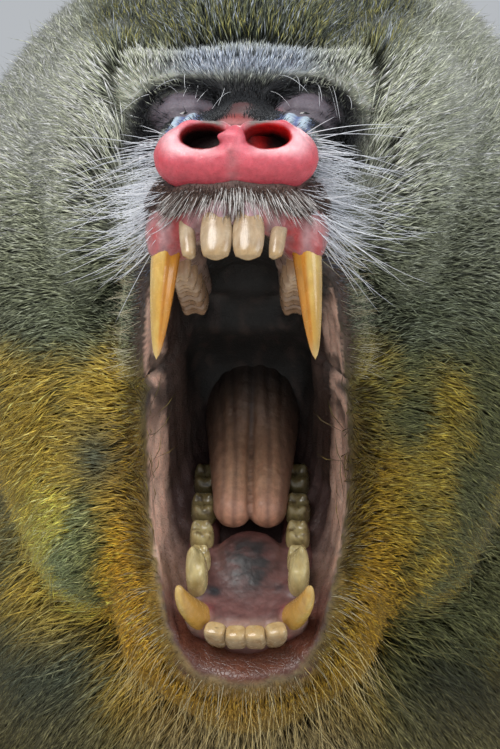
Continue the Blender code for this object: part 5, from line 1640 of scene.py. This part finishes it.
FACE, PLUSH, LOOSE, BODY = (1.15, 2.4, 2.8, 9), (1.15, 2.6, 4.5, 42), (1.40, 3.6, 6, 44), (2.0, 3.2, 4.2, 56)
grow("coat_face", zones["coat_face"], 26000, 201, 2.6, 0.15, 0.40, FACE, 11)
grow("coat_sides", zones["coat_sides"], 78000, 211, 3.0, 0.11, 0.43, PLUSH, 17)
grow("coat_beard", zones["coat_beard"], 48000, 221, 3.6, 0.16, 0.50, LOOSE, 16)
grow("coat_nape", zones["coat_nape"], 8000, 231, 8, 0.5, 2.3, BODY, ring=9)
grow("coat_mane", zones["coat_mane"], 11000, 241, 11, 0.6, 3.4, BODY, ring=10)
grow("coat_trunk", zones["coat_trunk"], 21000, 251, 12, 0.6, 3.7, BODY, ring=10)
for i, tag in enumerate(("left", "right")):
    grow("coat_foreleg_" + tag, zones["coat_foreleg_" + tag], 8000, 261 + 20 * i, 8, 0.5, 3.0, BODY, ring=10)
    grow("coat_hindleg_" + tag, zones["coat_hindleg_" + tag], 9000, 271 + 20 * i, 8, 0.5, 3.1, BODY, ring=10)
grow("coat_paws", zones["coat_paws"], 9000, 301, 4, 0.3, 1.6, FACE)

# the skin under the coat takes the coat's colours, painted light and shade included
end = skin_points + skin_masks["normal"] * np.clip(skin_masks["depth"], 0, 40)[:, None]
under_root, under_tip = coat_colours(skin_masks, end, 7)
furred = (1 - bare(skin_masks)) * smooth(0.6, 2.5, skin_masks["depth"]) * (1 - skin_masks["ear"])
tint = mix(tint, 0.75 * under_root + 0.22 * under_tip, furred)
skin.data.attributes["Tint"].data.foreach_set("color", np.concatenate([tint, np.ones((len(tint), 1))], 1).astype(np.float32).ravel())

# ---------------------------------------------------------------- whiskers and long single hairs


def strands(name, k, direction, length, width, bend, colour, rings=7, taper=0.72):
    """Curved hairs with three sides."""
    count = len(length)
    base = k["point"] - k["normal"] * 0.5
    t = np.linspace(0, 1, rings)
    at = base[:, None] + (direction[:, None] * t[None, :, None] + bend[:, None] * (t**2)[None, :, None]) * length[:, None, None]
    run = unit(direction[:, None] + 2 * bend[:, None] * t[None, :, None])
    side = unit(np.cross(run, unit(k["normal"] + 0.31)[:, None]))
    top = np.cross(side, run)
    r = (width[:, None] * (1 - taper * t[None]) * 0.5)[..., None]
    ring = [at + r * (math.cos(a) * side + math.sin(a) * top) for a in (0, 2 * math.pi / 3, 4 * math.pi / 3)]
    points = np.stack(ring, 2)[:, :-1].reshape(count, -1, 3)
    points = np.concatenate([points, at[:, -1:]], 1)
    each = points.shape[1]
    pattern = [(0, 1, 2)]
    for i in range(rings - 2):
        for j in range(3):
            a, b = i * 3 + j, i * 3 + (j + 1) % 3
            pattern += [(a, a + 3, b), (b, a + 3, b + 3)]
    last = (rings - 2) * 3
    pattern += [(last + j, each - 1, last + (j + 1) % 3) for j in range(3)]
    faces = (np.arange(count)[:, None, None] * each + np.array(pattern)[None]).reshape(-1, 3)
    patch = np.array([(u, i / (rings - 1) + 0.03 * (j == 2)) for i in range(rings - 1) for j, u in enumerate((0, 1, 0.5))] + [(0.5, 1)]) * 0.003
    obj = mesh(name, points.reshape(-1, 3), faces, [("Tint", np.repeat(np.clip(colour, 0, 1), each, 0))])
    with_map(obj, faces, (unwrapped(base, base.mean(0))[:, None, :] + patch[None]).reshape(-1, 2))
    return show(obj, whisker_look, "coat")


whisker_look = Finish("whisker", Roughness=0.35, Specular_IOR_Level=0.5)
whisker_look.base(whisker_look.attribute("Tint").outputs["Color"])
c_hx, c_hf, c_hu = centre["hx"], centre["hf"], centre["hu"]
c_ax = np.abs(c_hx)
dry = (centre["inner"] < 0.3) & (centre["nose"] < 0.6)


def vectors(x, y, z):
    return unit(np.stack(np.broadcast_arrays(x, y, z), 1).astype(float))


# the white brush on each side of the muzzle
for name, count, seed, reach, thick in (("whiskers_short", 620, 401, (9, 21), 0.46), ("whiskers_long", 120, 405, (26, 46), 0.44)):
    g = np.random.default_rng(seed)
    k = scatter(area * dry * (c_ax > 21) * (c_ax < 42) * (c_hf > 104) * (c_hf < 160) * (c_hu > -36) * (c_hu < 5), count, seed + 1)
    side = np.sign(k["hx"])
    angle = np.radians(np.interp(k["hu"], (-36, -18, 4), (-58, -26, 8)) + g.normal(0, 11, count))
    back = np.radians(g.uniform(-4, 26, count))
    d = vectors(side * np.cos(angle) * np.cos(back), np.sin(back), np.sin(angle) * np.cos(back))
    d = unit(d + k["normal"] * g.uniform(0.15, 0.5, count)[:, None])
    long = g.uniform(*reach, count)
    curl = np.where(k["hu"] < -12, 1.0, -0.35) * g.uniform(0.05, 0.42, count) - 0.08
    bend = np.stack([side * 0.02, 0.10 + 0 * side, curl], 1) + g.normal(0, 0.05, (count, 3))
    white = mix((0.60, 0.63, 0.70), (0.90, 0.92, 0.96), g.random(count))
    strands(name, k, d, long, g.uniform(0.8, 1.1, count) * thick, bend, white, rings=8)

# bristles that hang from the upper lip over the gum
g = np.random.default_rng(411)
count = 620
k = scatter(area * dry * (c_ax < 27) * (c_hf > 152) * (c_hu > -30) * (c_hu < -15), count, 412)
d = vectors(k["hx"] / 34 + g.normal(0, 0.16, count), g.uniform(-0.75, -0.25, count), -1.0)
bend = np.stack([k["hx"] / 150, g.uniform(0.0, 0.25, count), -g.uniform(0.0, 0.25, count)], 1)
pale = g.random(count) < 0.52
colour = np.where(pale[:, None], mix((0.60, 0.57, 0.54), (0.86, 0.84, 0.82), g.random(count)), mix((0.07, 0.045, 0.035), (0.19, 0.125, 0.10), g.random(count)))
strands("lip_bristles", k, d, g.uniform(5.5, 11.0, count), g.uniform(0.28, 0.42, count), bend, colour, rings=6)

# a few long bristles on the brow
g = np.random.default_rng(421)
count = 22
k = scatter(area * dry * (c_ax > 6) * (c_ax < 46) * (c_hf > 78) * (c_hu > 40) * (c_hu < 52), count, 422)
side = np.sign(k["hx"])
d = vectors(side * g.uniform(0.0, 0.8, count), -0.8, g.uniform(-1.0, 0.5, count))
bend = np.stack([side * g.uniform(-0.2, 0.2, count), 0.15 + 0 * side, -g.uniform(0.2, 0.7, count)], 1)
strands("brow_bristles", k, d, g.uniform(11, 23, count), g.uniform(0.26, 0.36, count), bend, mix((0.62, 0.64, 0.68), (0.88, 0.89, 0.92), g.random(count)), rings=8)

# straw-coloured hairs of the beard
g = np.random.default_rng(431)
count = 230
c_z, c_x = centre["point"][:, 2], centre["point"][:, 0]
k = scatter(area * dry * open_skin * (c_z < 548) * (c_z > 503) * (np.abs(c_x) < 50) * (centre["jf"] > 122) * (centre["ju"] > -84), count, 432)
flow = lie(k)
d = unit(flow + k["normal"] * g.uniform(0.15, 0.5, count)[:, None] + g.normal(0, 0.12, (count, 3)))
bend = np.stack([g.normal(0, 0.22, count), g.normal(0, 0.10, count), -g.uniform(0.1, 0.6, count)], 1)
strands("beard_strands", k, d, g.uniform(14, 36, count), g.uniform(0.22, 0.34, count), bend, mix((0.60, 0.44, 0.14), (0.84, 0.70, 0.36), g.random(count)), rings=8)

# fine pale hairs round the mouth
g = np.random.default_rng(441)
count = 760
c_m, c_in = centre["m"], centre["inward"]
k = scatter(area * dry * open_skin * (c_m > 0.5) * (c_m < 9) * (c_in > -26) * (c_in < 8) * (c_z > 520) * (c_z < 700), count, 442)
flow = lie(k)
d = unit(flow + k["normal"] * g.uniform(0.1, 0.4, count)[:, None] + g.normal(0, 0.10, (count, 3)) + np.array([0, 0, 0.16]))
bend = np.stack([g.normal(0, 0.05, count), g.normal(0, 0.05, count), -g.uniform(0.08, 0.40, count)], 1)
strands("margin_hairs", k, d, g.uniform(7, 17, count), g.uniform(0.22, 0.34, count), bend, mix((0.30, 0.24, 0.11), (0.66, 0.62, 0.46), g.random(count)), rings=6)

# stubble of the lower lip
g = np.random.default_rng(451)
count = 520
k = scatter(area * (centre["lip_low"] > 0.4) * (centre["inner"] < 0.3), count, 452)
d = unit(k["normal"] + g.normal(0, 0.35, (count, 3)) + np.array([0, -0.2, -0.6]))
dark = g.random(count) < 0.6
colour = np.where(dark[:, None], [[0.05, 0.025, 0.018]], [[0.42, 0.30, 0.22]])
strands("lip_stubble", k, d, g.uniform(1.5, 2.6, count), g.uniform(0.24, 0.34, count), g.normal(0, 0.08, (count, 3)), colour, rings=3, taper=0.4)

# ---------------------------------------------------------------- floor, light and camera

floor = mesh("floor", np.array([(-9000, -9000, 0), (9000, -9000, 0), (9000, 9000, 0), (-9000, 9000, 0)], float), [(0, 1, 2, 3)], soft=False)
f = Finish("floor", Roughness=0.85)
f.shader.inputs["Base Color"].default_value = (0.62, 0.61, 0.59, 1)
floor.data.materials.append(f.material)


def lamp(name, place, aim, size, power, colour=(1, 1, 1)):
    data = bpy.data.lights.new(name, "AREA")
    data.shape, data.size, data.energy, data.color = "DISK", size, power, colour
    obj = bpy.data.objects.new(name, data)
    obj.location = place
    obj.rotation_euler = (Vector(aim) - Vector(place)).to_track_quat("-Z", "Y").to_euler()
    bpy.context.scene.collection.objects.link(obj)


lamp("key", (-0.9, -2.1, 2.7), (0, -0.25, 0.62), 1.8, 66, (1.0, 0.985, 0.96))
lamp("side", (2.4, -1.6, 1.5), (0, -0.1, 0.6), 1.8, 24, (0.94, 0.97, 1.0))
lamp("back", (0.8, 2.6, 2.2), (0, 0.1, 0.5), 2.0, 36)
sky = bpy.data.worlds.new("studio")
sky.use_nodes = True
sky.node_tree.nodes["Background"].inputs["Color"].default_value = (0.86, 0.90, 0.95, 1)
sky.node_tree.nodes["Background"].inputs["Strength"].default_value = 0.55
bpy.context.scene.world = sky
bpy.context.scene.view_settings.view_transform = "Standard"

lens = bpy.data.cameras.new("camera")
lens.sensor_fit, lens.sensor_width, lens.lens = "AUTO", 36, 292.06
lens.clip_start, lens.clip_end = 0.05, 60
camera = bpy.data.objects.new("camera", lens)
place, aim = Vector((0.111, -2.80, 0.6475)), Vector((0.006, -0.43, 0.6475))
camera.location = place
camera.rotation_euler = (aim - place).to_track_quat("-Z", "Y").to_euler()
bpy.context.scene.collection.objects.link(camera)
bpy.context.scene.camera = camera
